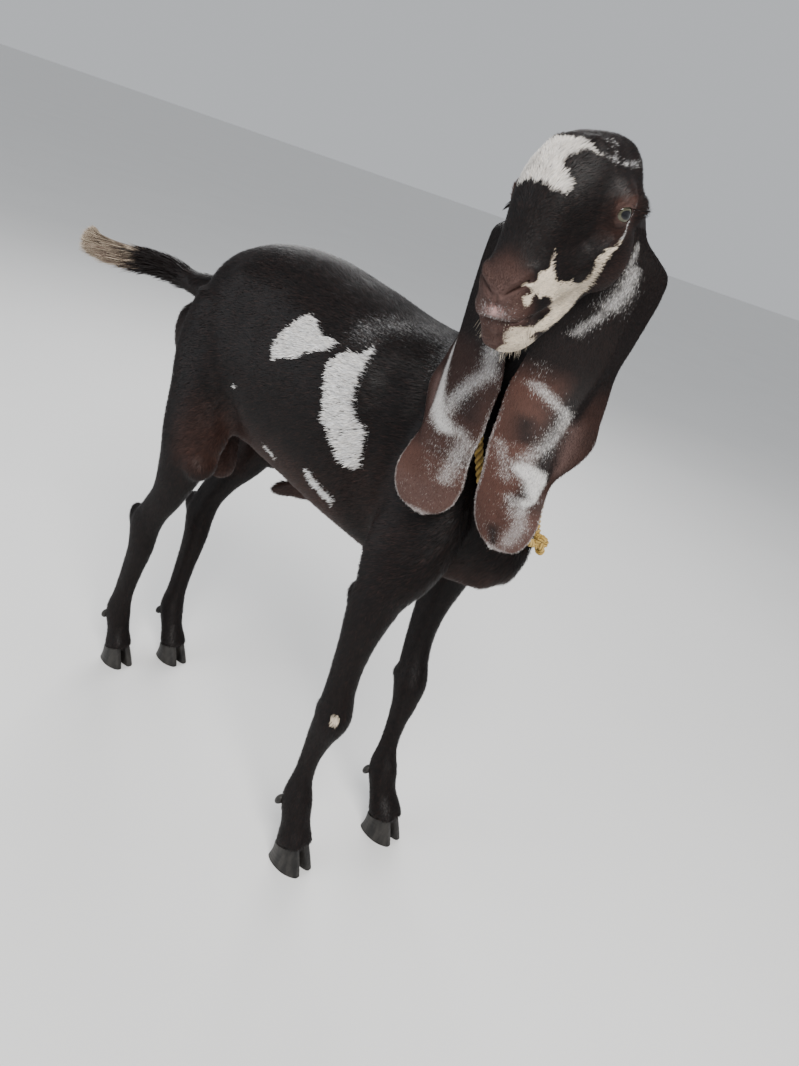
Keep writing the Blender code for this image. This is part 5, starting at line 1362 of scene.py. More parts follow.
@dataclass
class Skin:
    """Skin under the coat, with the same markings, standing for all solids of flesh."""

    form: BodyForm
    pattern: Pattern
    palette: Palette
    nodes: tuple = ("head", "neck", "torso", "tail", "scrotum", "foreleg_right", "foreleg_left", "hindleg_right",
                    "hindleg_left")

    def build(self) -> tuple:
        """Make the skin piece.

        Returns:
            Points, normals and triangles of the skin in the animal's own frame.
        """
        obj = self.form.build()
        obj.name = "skin"
        obj.data.name = "skin"
        points, way = coords(obj), normals(obj)
        obj.data.calc_loop_triangles()
        tris = np.empty(len(obj.data.loop_triangles) * 3, dtype=np.int64)
        obj.data.loop_triangles.foreach_get("vertices", tris)
        tris = tris.reshape(-1, 3)
        bpy.data.objects.remove(obj, do_unlink=True)
        piece = triangle_object("skin", points, tris)
        marks = self.pattern.at(points, way)
        put_vectors(piece, "marks", marks.on_skin())
        # painted shade: the skin that lines the eye sockets is made darker
        inside = np.zeros(len(points))
        for s in Side:
            reach = np.linalg.norm(points - EYE.centre(s), axis=1)
            inside = np.maximum(inside, (reach < EYE.radius + 0.0008).astype(float))
        shade = 0.42 - 0.25 * inside
        put_vectors(piece, "touch", np.stack((marks.pink, shade, np.full(len(points), 0.6)), 1))
        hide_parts(*self.nodes)
        place(piece, self.palette.skin, "torso")
        return points, way, tris


# Pale mist of each ear: a line as drop and place across, its width and its share of pale hair
EAR_MIST = {
    Side.LEFT: (
        (((.018, -.16), (.034, -.24), (.049, -.30)), .0034, .52), (((.055, -.20), (.081, -.24), (.100, -.36)), .0062, .60),
        (((.098, -.35), (.112, -.45), (.134, -.62)), .0034, .55), (((.172, -.78), (.195, -.70)), .0040, .20),
        (((.195, -.70), (.206, -.40), (.214, -.12), (.229, -.05)), .0056, .60),
        (((.229, -.05), (.250, -.15), (.273, -.43)), .0068, .52), (((.264, -.85), (.280, -.75), (.300, -.60)), .0055, .42),
        (((.284, -.32), (.290, -.10), (.303, .10)), .0088, 1.35), (((.292, .05), (.311, .30), (.318, .00)), .0080, .95),
        (((.325, .10), (.345, .45), (.370, .45)), .0130, .60), (((.318, -.30), (.335, .00)), .0075, .50)),
    Side.RIGHT: (
        (((.190, .42), (.211, .27), (.231, .15), (.252, .00)), .0056, 1.35),
        (((.250, .00), (.266, -.18), (.276, -.42)), .0085, .90),
        (((.165, -.85), (.183, -.78), (.202, -.78), (.220, -.57), (.244, -.35), (.261, -.30)), .0062, .62),
        (((.276, -.42), (.272, -.66), (.283, -.85), (.311, -.75), (.334, -.62)), .0080, .52),
        (((.295, -.40), (.335, -.35)), .0100, .20)),
}


@dataclass
class Ear:
    """Long hanging ear: a folded sheet with a thickness and hair on both faces."""

    side: Side
    palette: Palette
    seed: int = 5
    rows: int = 120
    across: int = 45
    turn: float = math.radians(78.0)
    base: tuple = (-0.050, 0.047, -0.036)
    density: float = 1250e3
    # Sections down from the root in outward and forward steps: drop, inner edge, crease, outer edge
    table: tuple = (
        (-0.008, -0.008, 0.010, -0.002, -0.004, 0.000, -0.014), (0.012, -0.014, 0.013, 0.005, -0.006, 0.010, -0.019),
        (0.030, -0.021, 0.016, 0.012, -0.012, 0.026, -0.028), (0.048, -0.027, 0.019, 0.018, -0.018, 0.038, -0.040),
        (0.080, -0.034, 0.021, 0.0235, -0.025, 0.042, -0.054), (0.130, -0.042, 0.020, 0.0240, -0.027, 0.034, -0.061),
        (0.180, -0.051, 0.018, 0.0190, -0.020, 0.031, -0.057), (0.215, -0.056, 0.015, 0.0130, -0.009, 0.037, -0.047),
        (0.242, -0.056, 0.014, 0.0110, -0.002, 0.042, -0.039), (0.266, -0.055, 0.013, 0.0130, 0.002, 0.034, -0.028),
        (0.288, -0.053, 0.012, 0.0150, 0.004, 0.023, -0.010), (0.315, -0.052, 0.006, 0.0080, 0.007, 0.025, 0.005),
        (0.345, -0.050, -0.003, -0.0020, 0.007, 0.029, 0.010), (0.366, -0.044, -0.007, -0.0080, 0.003, 0.024, 0.007),
        (0.380, -0.031, -0.007, -0.0100, -0.001, 0.012, 0.002), (0.3875, -0.017, -0.006, -0.0110, -0.004, -0.004, -0.003),
    )

    @property
    def name(self) -> str:
        """Name of the ear's solid."""
        return "ear_left" if self.side is Side.LEFT else "ear_right"

    def sheet(self) -> tuple:
        """Middle surface of the ear.

        A row runs from the inner edge over the crease to the outer edge; rows hang from a line that
        runs from the head to where the ear turns down.

        Returns:
            Grid of points, and the drop and the place across (-1 to 1) of each.
        """
        s = self.side.value
        table = np.array(self.table)
        forward = np.array((-math.sin(self.turn), -math.cos(self.turn), 0.0))
        out = np.array((math.cos(self.turn), -math.sin(self.turn), 0.0)) * s
        hung = np.array((-0.114, -0.670, 1.040) if s > 0 else (-0.142, -0.554, 1.040))
        start = HEAD.out((self.base[0], s * self.base[1], self.base[2]))
        least = 1.0 if s > 0 else 0.45
        t = np.linspace(0.0, 1.0, self.rows)
        t = t + 0.10 * np.sin(2 * math.pi * t) / (2 * math.pi)
        d = table[0, 0] + (table[-1, 0] - table[0, 0]) * (1 - (1 - t) ** 1.15)
        smooth = hermite(table[:, 0], table, d)[:, 1:]
        spread = least + (1.0 - least) * np.clip(d / 0.14, 0.0, 1.0)
        inner, crease = smooth[:, None, 0:2], smooth[:, None, 2:4]
        outer = smooth[:, None, 4:6] * np.stack((spread, np.ones_like(spread)), 1)[:, None]
        v = np.linspace(-1.0, 1.0, self.across)[None, :, None]
        blend = np.abs(v) ** 1.12
        line = np.where(v < 0, crease + (inner - crease) * blend, crease + (outer - crease) * blend)
        bow = np.clip(1 - (2 * np.abs(v) - 1) ** 2, 0.0, 1.0)
        flat = inner - crease
        panel = unit(np.stack((-flat[..., 1], flat[..., 0]), -1))
        line = line + bow * np.where(v < 0, panel * -0.0022, 0.0)
        hold = (1.0 - np.clip(d / 0.075, 0.0, 1.0))[:, None]
        root = hung + (start - hung) * hold**2 * (3.0 - 2.0 * hold)
        grid = root[:, None] + line[..., :1] * out + line[..., 1:] * forward - d[:, None, None] * (0.0, 0.0, 1.0)
        drop = np.repeat(d[:, None], self.across, 1)
        wide = np.broadcast_to(v[..., 0], drop.shape)
        wave = 0.0007 * np.sin(drop * 95.0 + wide * 2.0) * np.abs(wide) ** 2
        return grid + wave[..., None] * out, drop, wide

    def marks(self, d: np.ndarray, v: np.ndarray, world: np.ndarray) -> Marks:
        """Coat of the ear by drop and place across."""
        flat = np.stack((d, v * 0.030), 1)

        def spot(way: Rows, wide: float) -> np.ndarray:
            """Bell round a line given as drop and place across."""
            return near_path(flat, np.array(way) * (1.0, 0.030), wide)

        out = Marks.plain(len(d), 0.05)
        rim = np.maximum(ramp(np.abs(v), 0.92, 0.99) * ramp(d, 0.16, 0.28), ramp(d, 0.376, 0.386))
        low = ramp(d, 0.16, 0.21)
        for line, wide, level in EAR_MIST[self.side]:
            out.tick = np.maximum(out.tick, np.clip(level * spot(line, wide), 0.0, 1.0))
        if self.side is Side.LEFT:
            inner = ramp(-v, 0.10, 0.50)
            out.brown = np.maximum.reduce((out.brown, 0.92 * low * inner, 0.80 * ramp(d, 0.30, 0.34),
                                           0.34 * low * ramp(v, 0.15, 0.5)))
            out.pink = np.maximum(0.55 * spot([(.246, .30), (.273, .52), (.229, .27)], 0.0100),
                                  0.50 * ramp(d, 0.315, 0.345) * ramp(v, -0.2, 0.4))
            dark = np.maximum(spot([(.235, -.60), (.252, -.50)], 0.0070), spot([(.362, -.30), (.376, -.15)], 0.0065))
        else:
            out.brown = np.maximum.reduce((out.brown, 0.85 * ramp(d, 0.285, 0.32), 0.50 * low))
            out.pink = np.maximum(0.60 * spot([(.235, .55), (.250, .45), (.262, .35)], 0.0095),
                                  0.42 * ramp(d, 0.32, 0.355))
            dark = spot([(.238, -.60), (.252, -.68)], 0.0080) * 0.7
        out.tick = np.maximum(out.tick, 0.50 * rim + 0.12 * ramp(d, 0.33, 0.37))
        out.brown = np.clip(out.brown * (1.0 + 0.25 * wave_noise(world, 0.045, 3.0)), 0.0, 1.0) * (1 - 0.8 * dark)
        out.pink = out.pink * (1 - dark)
        out.warm = np.maximum(out.warm, 0.18)
        return out

    def build(self) -> None:
        """Make the ear and its hair."""
        grid, drop, wide = self.sheet()
        n, m = drop.shape
        normal = unit(np.cross(np.gradient(grid, axis=0), np.gradient(grid, axis=1))) * self.side.value
        t = np.linspace(0.0, 1.0, n)[:, None]
        edge = np.abs(np.linspace(-1.0, 1.0, m))[None, :]
        thick = (0.0030 - 0.0012 * t) * (1.0 - 0.60 * edge**6) * (1.0 - 0.7 * t**24)
        front, back = grid + normal * thick[..., None] / 2, grid - normal * thick[..., None] / 2
        points = np.concatenate((front.reshape(-1, 3), back.reshape(-1, 3)))
        i, j = np.meshgrid(np.arange(n - 1), np.arange(m - 1), indexing="ij")
        a, b = (i * m + j).ravel(), (i * m + j + 1).ravel()
        c, e = b + m, a + m
        face = np.concatenate((np.stack((a, b, c), 1), np.stack((a, c, e), 1)))
        size = n * m
        rim = np.concatenate((np.arange(m), np.arange(2 * m - 1, size, m), np.arange(size - 2, size - m - 1, -1),
                              np.arange(size - 2 * m, 0, -m)))
        after = np.roll(rim, -1)
        border = np.concatenate((np.stack((rim, rim + size, after + size), 1), np.stack((rim, after + size, after), 1)))
        tris = np.concatenate((face, face[:, ::-1] + size, border))
        if self.side is Side.RIGHT:
            tris = tris
        corner = points[tris]
        way = np.zeros_like(points)
        flat = np.cross(corner[:, 1] - corner[:, 0], corner[:, 2] - corner[:, 0])
        outward = np.sum(flat[:len(face)] * normal.reshape(-1, 3)[face[:, 0]], 1).mean()
        if outward < 0:
            tris, flat = tris[:, ::-1], -flat
        for k in range(3):
            np.add.at(way, tris[:, k], flat)
        way = unit(way)
        drops, wides = (np.concatenate((g.ravel(), g.ravel())) for g in (drop, wide))
        piece = triangle_object(self.name + "_form", points, tris)
        marks = self.marks(drops, wides, points)
        put_vectors(piece, "marks", marks.on_skin())
        put_vectors(piece, "touch", np.stack((marks.pink, np.full(len(points), 0.45), np.full(len(points), 0.6)), 1))
        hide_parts(self.name)
        place(piece, self.palette.ear, self.name)
        self.hair(points, way, tris, drops, wides)

    def hair(self, points: np.ndarray, way: np.ndarray, tris: np.ndarray, drops: np.ndarray,
             wides: np.ndarray) -> None:
        """Cover the ear with short hair that lies toward its tip and stands over its rim."""
        rng = np.random.default_rng(self.seed + int(self.side.value))
        middle = drops[tris].mean(axis=1)
        pick, share = scatter(points, tris, np.where(middle > 0.0, self.density, 0.0), rng)
        corners = tris[pick]
        root = np.einsum("nk,nkd->nd", share, points[corners])
        normal = unit(np.einsum("nk,nkd->nd", share, way[corners]))
        d, v = np.sum(share * drops[corners], 1), np.sum(share * wides[corners], 1)
        count = len(root)
        marks = self.marks(d, v, root)
        slope = np.stack((np.zeros(count), np.zeros(count), -np.ones(count)), 1)
        slope = slope + 0.25 * wave_noise(root, 0.05, 2.0)[:, None] * np.cross(normal, slope)
        along = unit(slope - np.sum(slope * normal, 1, keepdims=True) * normal)
        along = unit(along + np.cross(normal, along) * (0.20 * rng.normal(size=count))[:, None])
        clump = cell_noise(root, 0.006, 1.0)
        pale = marks.on_hair(rng, np.full(count, 0.38))
        length = (0.0034 - 0.0012 * np.clip(marks.pink * 1.5, 0, 1)) * (0.7 + 0.6 * rng.random(count))
        keep = rng.random(count) > 0.70 * np.clip(marks.pink * 1.5, 0, 1)
        lift = np.radians(7.0 + 7.0 * rng.random(count) + 5.0 * ramp(np.abs(v), 0.9, 1.0))
        turned = np.sum(normal * (math.cos(self.turn), -math.sin(self.turn), 0.0), 1) > 0
        chart = np.stack((np.where(turned, 0.0, 0.5) + 0.24 * (v + 1.0), (d + 0.01) / 0.42), 1)
        width = 0.00036 * (0.75 + 0.5 * rng.random(count))
        shade = np.clip(0.5 + 0.20 * rng.normal(size=count) + 0.25 * (clump - 0.5), 0.0, 1.0)
        tufts = Tufts(root, along, normal, length, width, lift, pale, marks.pink * 0.35, shade, chart)
        tufts.pick(keep).piece("coat_" + self.name, self.palette.hair, self.name)


@dataclass
class Strands:
    """Long hair as narrow strips of several segments: the tail's brush and fringe, chin and lids."""

    form: BodyForm
    palette: Palette
    sections: int = 5
    seed: int = 23

    def piece(self, name: str, slot: str, start: np.ndarray, way: np.ndarray, fall: np.ndarray, length: np.ndarray,
              width: np.ndarray, marks: np.ndarray, shade: np.ndarray, chart: np.ndarray) -> None:
        """Join strips into one mesh.

        The middle line of a strip is start + way * s + fall * s squared, s from 0 to the length, its
        half width falls with the square of s, and it is twisted so that it faces outward.

        Args:
            name: name of the piece.
            slot: material slot of the record, not used.
            start: roots.
            way: first direction of each strip.
            fall: bend of each strip for a metre of length squared.
            length: lengths.
            width: widths at the root.
            marks: values of the attribute marks.
            shade: lightness of each strip.
            chart: place of each root on the unwrap.
        """
        count, n = len(start), self.sections
        t = np.linspace(0.0, 1.0, n)[None, :, None]
        s = t * length[:, None, None]
        line = start[:, None] + way[:, None] * s + fall[:, None] * s**2
        tangent = unit(np.gradient(line, axis=1))
        rng = np.random.default_rng(self.seed)
        side = unit(np.cross(tangent, rng.normal(size=(count, 1, 3)) + (0.0, 0.0, 0.6)))
        half = (width[:, None, None] / 2) * (1.0 - 0.92 * t**2)
        verts = np.stack((line - side * half, line + side * half), 2).reshape(-1, 3)
        base = (np.arange(count) * 2 * n)[:, None] + 2 * np.arange(n - 1)[None]
        base = base.reshape(-1, 1)
        tris = np.concatenate((base + (0, 1, 3), base + (0, 3, 2)), 1).reshape(-1, 3)
        obj = triangle_object(name, verts, tris)
        put_vectors(obj, "marks", np.repeat(marks, 2 * n, axis=0))
        # place along the strand, which the coat group turns into painted shade at the root
        tips = np.tile(np.repeat(np.linspace(0.1, 1.0, n), 2), count)
        put_vectors(obj, "touch", np.stack((np.zeros(len(verts)), np.repeat(shade, 2 * n), tips), 1))
        at = np.repeat(0.01 + 0.98 * np.clip(chart, 0, 1), 2 * n, axis=0)
        along = np.tile(np.repeat(np.linspace(-1, 1, n), 2), count)
        over = np.tile((-1.0, 1.0), count * n)
        at = at + 0.0015 * np.stack((over, along), 1)
        layer = obj.data.uv_layers.new(name="OFBake")
        layer.data.foreach_set("uv", at[tris.ravel()].astype(np.float32).ravel())
        place(obj, self.palette.hair, slot)

    def tail_frame(self, share: np.ndarray) -> tuple:
        """Centre, half side, half depth, way along, side way and up way of the tail at shares of its length."""
        table = resample(self.form.tail, 80)
        at = np.clip(share, 0.0, 1.0) * 79.0
        row = np.stack([np.interp(at, np.arange(80), table[:, c]) for c in range(5)], 1)
        way = unit(np.stack([np.interp(at, np.arange(80), c) for c in np.gradient(table[:, :3], axis=0).T], 1))
        side = unit(np.cross(way, (0.0, 0.0, 1.0)))
        return row[:, :3], row[:, 3], row[:, 4], way, side, np.cross(side, way)

    def tail(self) -> None:
        """Cream brush round the outer half of the tail, and a ragged dark fringe under it."""
        rng = np.random.default_rng(self.seed)
        count = 12000
        share = 0.30 + 0.665 * rng.random(count) ** 0.80
        centre, a, b, way, side, up = self.tail_frame(share)
        turn = 2 * math.pi * rng.random(count)
        out = side * np.cos(turn)[:, None] + up * np.sin(turn)[:, None]
        depth = 0.45 + 0.30 * rng.random(count)
        start = centre + (side * (a * np.cos(turn))[:, None] + up * (b * np.sin(turn))[:, None]) * depth[:, None]
        brush = ramp(share, 0.56, 0.74)
        length = (0.020 + 0.022 * brush) * (0.65 + 0.6 * rng.random(count))
        length = np.minimum(length, (1.0 - share) * 0.30 + 0.010)
        under = np.clip(-np.sin(turn), 0.0, 1.0)
        spread = (0.10 + 0.16 * rng.random(count)) * (1 - 0.9 * brush) + 0.22 * under * (1 - brush)
        clump = cell_noise(np.stack((share * 8.0, turn * 2.2, share * 0.0), 1), 1.0, 5.0)
        way = unit(way + out * spread[:, None] + side * (0.28 * (clump - 0.5))[:, None]
                   + rng.normal(size=(count, 3)) * 0.05)
        fall = np.stack((np.zeros(count), np.zeros(count), -2.2 + 3.6 * brush * (rng.random(count) - 0.2)), 1)
        cream = rng.random(count) < ramp(start[:, 1], 0.165, 0.205)
        gold = 0.435 + 0.085 * rng.random(count) + 0.03 * ramp(start[:, 1], 0.20, 0.26)
        marks = np.stack((np.where(cream, gold, 0.0), np.where(cream, 0.9, 0.05), np.where(cream, 1.0, 0.0)), 1)
        shade = np.clip(0.5 + 0.15 * rng.normal(size=count) + 0.35 * (clump - 0.5), 0.0, 1.0)
        chart = np.stack((turn / (2 * math.pi), share), 1)
        width = 0.0007 + 0.0006 * rng.random(count)
        self.piece("tail_brush", "tail", start, way, fall, length, width, marks, shade, chart)

    def face(self) -> None:
        """Lashes on the upper lids, the tuft under the chin and long hairs below the lower lip."""
        rng = np.random.default_rng(self.seed + 1)
        start, way, length, width, pale, warm = [], [], [], [], [], []

        def add(at: np.ndarray, toward: np.ndarray, long: np.ndarray, wide: float, light: np.ndarray) -> None:
            """Keep a batch of hairs."""
            start.append(at)
            way.append(unit(toward))
            length.append(long)
            width.append(np.full(len(at), wide))
            pale.append(light)
            warm.append(np.full(len(at), 0.9))

        for s in Side:
            ahead, look, above = EYE.axes(s)
            turn = np.linspace(0.30, 2.85, 46) + 0.03 * rng.normal(size=46)
            middle = EYE.centre(s) + look * (EYE.radius + EYE.lid - 0.0012)
            at = (middle + ahead * (0.0098 * np.cos(turn))[:, None] + above * (0.0060 * np.sin(turn))[:, None]
                  - look * (0.0042 * np.cos(turn) ** 2)[:, None])
            toward = look * 0.8 + above * 0.45 + ahead * (0.5 * np.cos(turn))[:, None] - np.array((0, 0, 0.35))
            add(at, toward, 0.0070 + 0.002 * rng.random(46), 0.00030, np.zeros(46))
        count = 300
        spot = np.stack((0.100 + 0.010 * rng.normal(size=count), 0.006 * rng.normal(size=count),
                         np.full(count, -0.0915)), 1)
        add(HEAD.out(spot), np.tile(HEAD.axes[0] * -0.5, (count, 1)) + (0, 0, -1.0), 0.005 + 0.006 * rng.random(count),
            0.00034, (rng.random(count) < 0.7).astype(float))
        count = 160
        spot = np.stack((0.105 + 0.016 * rng.random(count), 0.026 * (2 * rng.random(count) - 1),
                         -0.066 - 0.010 * rng.random(count)), 1)
        toward = np.stack((np.full(count, 0.5), spot[:, 1] * 20.0, np.full(count, -0.9)), 1)
        add(HEAD.out(spot * (1, 1, 1)), toward @ HEAD.axes, 0.007 + 0.006 * rng.random(count), 0.00028,
            (rng.random(count) < 0.5).astype(float))
        start, way, length, width, pale, warm = (np.concatenate(v) for v in (start, way, length, width, pale, warm))
        marks = np.stack((pale, np.full(len(pale), 0.05), warm), 1)
        shade = np.clip(0.5 + 0.15 * rng.normal(size=len(pale)), 0, 1)
        at = HEAD.into(start)
        chart = np.stack((at[:, 1] * 4 + 0.5, at[:, 0] * 4 + 0.4), 1)
        fall = np.tile((0.0, 0.0, -4.0), (len(pale), 1))
        self.piece("face_hairs", "head", start, way, fall, length, width, marks, shade, chart)


@dataclass
class Eyes:
    """Two eyeballs with a swollen clear front."""

    palette: Palette
    rings: int = 40
    spokes: int = 56

    def build(self) -> None:
        """Make both eyeballs: a sphere round the look whose front swells a little."""
        phi = np.linspace(0.0, math.pi, self.rings + 2)[1:-1]
        theta = np.linspace(0.0, 2 * math.pi, self.spokes, endpoint=False)
        local = np.stack((np.outer(np.sin(phi), np.cos(theta)), np.outer(np.cos(phi), np.ones(self.spokes)),
                          np.outer(np.sin(phi), np.sin(theta))), -1).reshape(-1, 3)
        local = np.concatenate((local, ((0, 1.0, 0), (0, -1.0, 0))))
        away = np.hypot(local[:, 0], local[:, 2])
        swell = 1.0 + 0.055 * np.exp(-((away / 0.55) ** 2)) * (local[:, 1] > 0)
        gaze = np.stack((local[:, 0], local[:, 2], np.where(local[:, 1] > 0, away, 1.0)), 1)
        for s in Side:
            name = "eye_left" if s is Side.LEFT else "eye_right"
            points = EYE.centre(s) + (local * swell[:, None] * (EYE.radius - 0.0002)) @ EYE.axes(s)
            obj = new_object(name + "_ball", points + FRAME_SHIFT, ring_faces(self.rings, self.spokes))
            put_vectors(obj, "gaze", gaze)
            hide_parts(name)
            place(obj, self.palette.eye, name)


@dataclass
class Feet:
    """Two claws on each foot and the dewclaws behind it."""

    palette: Palette
    levels: int = 30
    spokes: int = 60
    gap: float = 0.0003
    cleft: float = 0.0012
    dewclaws: tuple = (("foreleg_right", -0.087, -0.474, 0.098), ("foreleg_left", 0.087, -0.505, 0.098),
                       ("hindleg_right", -0.051, 0.069, 0.088), ("hindleg_left", 0.051, 0.040, 0.088))

    def claw(self, foot: str, side: float) -> Shape:
        """Claw: rounded sections that rise from a flat sole to the slope of the coronet, with rings."""
        x, y, z, half, length = FEET[foot]
        toe, heel = y - 0.62 * length, y + 0.42 * length
        angle = np.linspace(0.0, 2 * math.pi, self.spokes, endpoint=False)[None]
        level = np.concatenate(((0.0, 0.02), np.linspace(0.05, 1.0, self.levels - 2)))[:, None]
        front = toe + level * 0.33 * length
        back = heel - level * 0.04 * length - 0.03 * length * np.sin(math.pi * level)
        ring = 1.0 - 0.008 * np.abs(np.sin(level * 17.0)) - 0.05 * (level == 0.0)
        along = -np.cos(angle)
        yy = (front + back) / 2 + along * (back - front) / 2 * ring
        taper = 1.0 - 0.32 * np.clip(-along, 0, 1) ** 2.2 - 0.14 * np.clip(along, 0, 1) ** 3
        across = np.sin(angle)
        reach = np.where(across > 0, np.clip(across, 0, 1) ** 0.72, -np.clip(-across, 0, 1) ** 0.42)
        width = half * (1.0 - 0.10 * level)
        hook = 0.0025 * np.clip(-along, 0, 1) ** 2
        xx = x + side * (self.cleft + width / 2 + 0.0015 * (1 - level) + reach * 0.5 * width * taper * ring - hook)
        roof = z - CORONET_SLOPE * (yy - y) - self.gap
        points = np.stack((xx, yy, roof * level), -1)
        ends = np.array((points[0].mean(axis=0), points[-1].mean(axis=0)))
        return np.concatenate((points.reshape(-1, 3), ends)), ring_faces(self.levels, self.spokes)

    def build(self) -> None:
        """Make the claws and the dewclaws."""
        for foot in FEET:
            for side, label in ((-1.0, "a"), (1.0, "b")):
                points, faces = self.claw(foot, side)
                self.dress("claw_" + foot + "_" + label, points, faces)
        axes = np.array(((0, 0.35, -0.94), (1, 0, 0), (0, 0.94, 0.35)))
        for leg, x, y, z in self.dewclaws:
            for step, label in ((-1.0, "a"), (1.0, "b")):
                points, faces = ball((x + step * 0.0125, y - 0.0035, z), (0.0103, 0.0080, 0.0062), axes, 22, 28)
                self.dress("dewclaw_" + leg + "_" + label, points, faces)

    def dress(self, node: str, points: np.ndarray, faces: list) -> None:
        """Make one horny piece that stands for a solid."""
        obj = new_object(node + "_horn", points + FRAME_SHIFT, faces)
        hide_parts(node)
        place(obj, self.palette.horn, node)


@dataclass
class Collar:
    """Twisted rope round the base of the neck, knotted at the breast."""

    palette: Palette
    radius: float = 0.0050
    strand: float = 0.0030
    twist: float = 0.024
    # Points that the rope passes by, from the knot round the right side to the nape and back
    line: tuple = (
        (0.0133, -0.6527, 0.6233), (-0.0150, -0.6420, 0.6420), (-0.0440, -0.6190, 0.6590),
        (-0.0700, -0.5880, 0.6950), (-0.0680, -0.5700, 0.7400), (-0.0640, -0.5500, 0.7950),
        (-0.0560, -0.5420, 0.8500), (-0.0200, -0.5350, 0.8820), (0.0250, -0.5450, 0.8500),
        (0.0520, -0.5600, 0.7900), (0.0660, -0.5780, 0.7300), (0.0620, -0.6080, 0.6800),
        (0.0420, -0.6380, 0.6430),
    )

    def heights(self, points: np.ndarray) -> tuple:
        """Height of points over the nearest of neck and trunk, and the way out there."""
        high, ways, hosts = [], [], []
        for name in ("neck", "torso"):
            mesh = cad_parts[name].data
            hosts.append(BVHTree.FromPolygons([v.co for v in mesh.vertices], [p.vertices for p in mesh.polygons]))
        for point in points + FRAME_SHIFT:
            near = []
            for host in hosts:
                spot, normal, _, _ = host.find_nearest(Vector(point))
                away = point - np.array(spot)
                near.append((np.linalg.norm(away), float(away @ np.array(normal)), tuple(normal)))
            _, height, normal = min(near)
            high.append(height)
            ways.append(normal)
        return np.array(high), np.array(ways)

    def path(self, count: int = 64) -> tuple:
        """Line of the rope lying on the coat, and the way out at each point."""
        loop = np.array(self.line)
        turns = resample(np.concatenate((loop, loop, loop[:1])), 2 * count + 1)
        path = np.roll(turns[count // 2:count // 2 + count], count // 2, axis=0)
        for _ in range(3):
            height, side = self.heights(path)
            path = path - side * height[:, None]
            path = (np.roll(path, 1, axis=0) + 2.0 * path + np.roll(path, -1, axis=0)) / 4.0
        for turn in range(10):
            height, side = self.heights(path)
            path = path + side * np.maximum(self.radius + 0.0006 - height, 0.0)[:, None]
            if turn < 7:
                path = (np.roll(path, 1, axis=0) + 2.0 * path + np.roll(path, -1, axis=0)) / 4.0
        for _ in range(6):
            side = unit(np.roll(side, 1, axis=0) + 2.0 * side + np.roll(side, -1, axis=0))
        return path, side

    def twisted(self, path: np.ndarray, side: np.ndarray, spokes: int, turns: float, closed: bool,
                strand: float) -> tuple:
        """Three strands wound round a line.

        The centre of a strand is path + offset * (cos * side + sin * across), its angle growing along
        the line, and its own section is a circle.

        Returns:
            Points, quads, and the depth in the groove of each point with its place along the strand.
        """
        count = len(path)
        shift = np.roll if closed else (lambda v, k, axis: np.gradient(v, axis=axis) * -k)
        tangent = unit(shift(path, -1, axis=0) - (np.roll(path, 1, axis=0) if closed else 0.0))
        side = unit(side - np.sum(side * tangent, 1, keepdims=True) * tangent)
        across = np.cross(tangent, side)
        t = np.arange(count) / (count if closed else count - 1)
        spoke = np.linspace(0.0, 2 * math.pi, spokes, endpoint=False)
        verts, faces, lay, base = [], [], [], 0
        for k in range(3):
            turn = 2 * math.pi * (turns * t + k / 3.0)
            out = side * np.cos(turn)[:, None] + across * np.sin(turn)[:, None]
            around = np.cross(tangent, out)
            centre = path + out * strand * 0.82
            section = (centre[:, None] + strand * (np.cos(spoke)[None, :, None] * out[:, None]
                                                   + np.sin(spoke)[None, :, None] * around[:, None]))
            verts.append(section.reshape(-1, 3))
            # depth in the groove, kept as the share of painted shade on the rope
            groove_shade = np.broadcast_to(0.5 - 0.5 * np.cos(spoke)[None], (count, spokes)).ravel()
            slant = (t[:, None] * turns * 2 * math.pi * 9.0 + spoke[None] * 3.0).ravel()
            lay.append(np.stack((ramp(groove_shade, 0.12, 0.55), slant, np.zeros_like(groove_shade)), 1))
            last = count if closed else count - 1
            i, j = np.meshgrid(np.arange(last), np.arange(spokes), indexing="ij")
            n, m = (i + 1) % count, (j + 1) % spokes
            quads = np.stack((i * spokes + j, i * spokes + m, n * spokes + m, n * spokes + j), -1).reshape(-1, 4)
            faces.extend((quads + base).tolist())
            if not closed:
                faces.append(tuple(base + np.arange(spokes)[::-1]))
                faces.append(tuple(base + (count - 1) * spokes + np.arange(spokes)))
            base += count * spokes
        return np.concatenate(verts), faces, np.concatenate(lay)

    def build(self) -> None:
        """Make the rope ring and its knot."""
        path, side = self.path()
        knot, out = path[0].copy(), side[0]
        dense = 900
        at = np.arange(len(path) + 1)
        want = np.arange(dense) / dense * len(path)
        loop, ways = (np.concatenate((v[-3:], v, v[:4])) for v in (path, side))
        index = np.arange(-3, len(path) + 4)
        path = hermite(index.astype(float), loop, want)
        side = unit(hermite(index.astype(float), ways, want))
        length = np.linalg.norm(np.diff(path, axis=0), axis=1).sum()
        turns = round(length / self.twist)
        verts, faces, lay = self.twisted(path, side, 10, turns, True, self.strand)
        tangent = unit(path[1] - path[-1])
        across = np.cross(tangent, out)
        t = np.linspace(0.0, 2 * math.pi, 220, endpoint=False)
        wind = np.stack((np.sin(t) + 2 * np.sin(2 * t), np.cos(t) - 2 * np.cos(2 * t), -np.sin(3 * t)), 1) / 3.0
        tie = (knot + out * 0.0065 + wind[:, :1] * tangent * 0.0098 + wind[:, 1:2] * across * 0.0112
               + wind[:, 2:] * out * 0.0130)
        away = unit(tie - (knot + out * 0.0065))
        tied, sides, lain = self.twisted(tie, away, 10, 9, True, 0.0021)
        shapes = np.concatenate((verts, tied))
        faces = faces + [tuple(i + len(verts) for i in face) for face in sides]
        obj = new_object("collar_rope", shapes + FRAME_SHIFT, faces)
        put_vectors(obj, "lay", np.concatenate((lay, lain)))
        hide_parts("collar")
        place(obj, self.palette.rope, "collar")


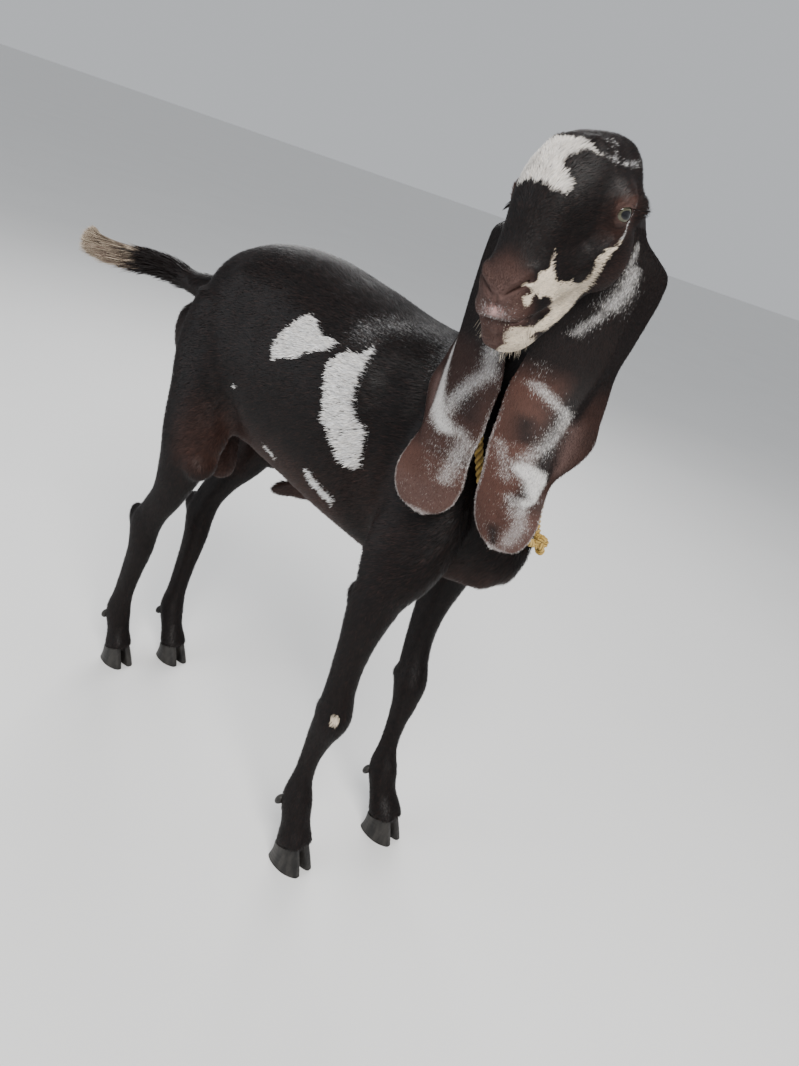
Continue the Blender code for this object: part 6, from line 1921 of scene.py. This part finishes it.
# ------------------------------------------------------------------ studio


@dataclass
class Studio:
    """Plain pale floor, soft lights and the camera at the photograph's angle."""

    palette: Palette
    place: tuple = (-0.8824, -1.0173, 1.0)
    lens: float = 27.017
    axes: tuple = ((0.6141, -0.7298, 0.3005), (0.1451, 0.4786, 0.8659), (-0.7758, -0.4882, 0.3998))

    def light(self, name: str, where: tuple, target: tuple, size: float, power: float, tone: tuple) -> None:
        """Square soft light that looks at a point."""
        lamp = bpy.data.lights.new(name, "AREA")
        lamp.size = size
        lamp.energy = power
        lamp.color = tone
        obj = bpy.data.objects.new(name, lamp)
        obj.location = where
        obj.rotation_euler = (Vector(target) - Vector(where)).to_track_quat("-Z", "Y").to_euler()
        bpy.context.scene.collection.objects.link(obj)

    def build(self) -> None:
        """Make floor, world, lights and camera."""
        mesh = bpy.data.meshes.new("floor")
        mesh.from_pydata([(-60, -60, 0), (60, -60, 0), (60, 60, 0), (-60, 60, 0)], [], [(0, 1, 2, 3)])
        floor = bpy.data.objects.new("floor", mesh)
        mesh.materials.append(self.palette.floor)
        bpy.context.scene.collection.objects.link(floor)
        world = bpy.data.worlds.new("studio")
        world.use_nodes = True
        world.node_tree.nodes["Background"].inputs[0].default_value = (0.90, 0.93, 0.97, 1.0)
        world.node_tree.nodes["Background"].inputs[1].default_value = 0.62
        bpy.context.scene.world = world
        self.light("key", (-1.6, -1.9, 3.0), (0.0, 0.0, 0.6), 1.7, 165.0, (1.0, 0.98, 0.95))
        self.light("fill", (-2.6, 1.2, 1.6), (0.0, 0.0, 0.6), 2.2, 45.0, (0.92, 0.96, 1.0))
        self.light("rim", (1.8, 1.6, 2.6), (0.0, 0.0, 0.6), 1.6, 60.0, (1.0, 1.0, 1.0))
        camera = bpy.data.objects.new("camera", bpy.data.cameras.new("camera"))
        data = camera.data
        data.sensor_fit, data.sensor_width, data.sensor_height, data.lens = "VERTICAL", 36.0, 36.0, self.lens
        data.clip_start, data.clip_end = 0.05, 50.0
        turn = Matrix([list(row) for row in zip(*self.axes)]).to_4x4()
        camera.matrix_world = Matrix.Translation(Vector(np.array(self.place) + FRAME_SHIFT)) @ turn
        bpy.context.scene.collection.objects.link(camera)
        bpy.context.scene.camera = camera


def main() -> None:
    """Build the animal piece by piece."""
    logging.basicConfig(level=logging.INFO, format="%(message)s")
    palette, form, pattern = Palette(), BodyForm(), Pattern()
    Studio(palette).build()
    LOG.info("skin")
    points, way, tris = Skin(form, pattern, palette).build()
    LOG.info("coat")
    Coat(form, pattern, palette).grow(points, way, tris)
    for side in Side:
        Ear(side, palette).build()
    Eyes(palette).build()
    Feet(palette).build()
    Collar(palette).build()
    strands = Strands(form, palette)
    strands.tail()
    strands.face()


if __name__ == "__main__":
    main()
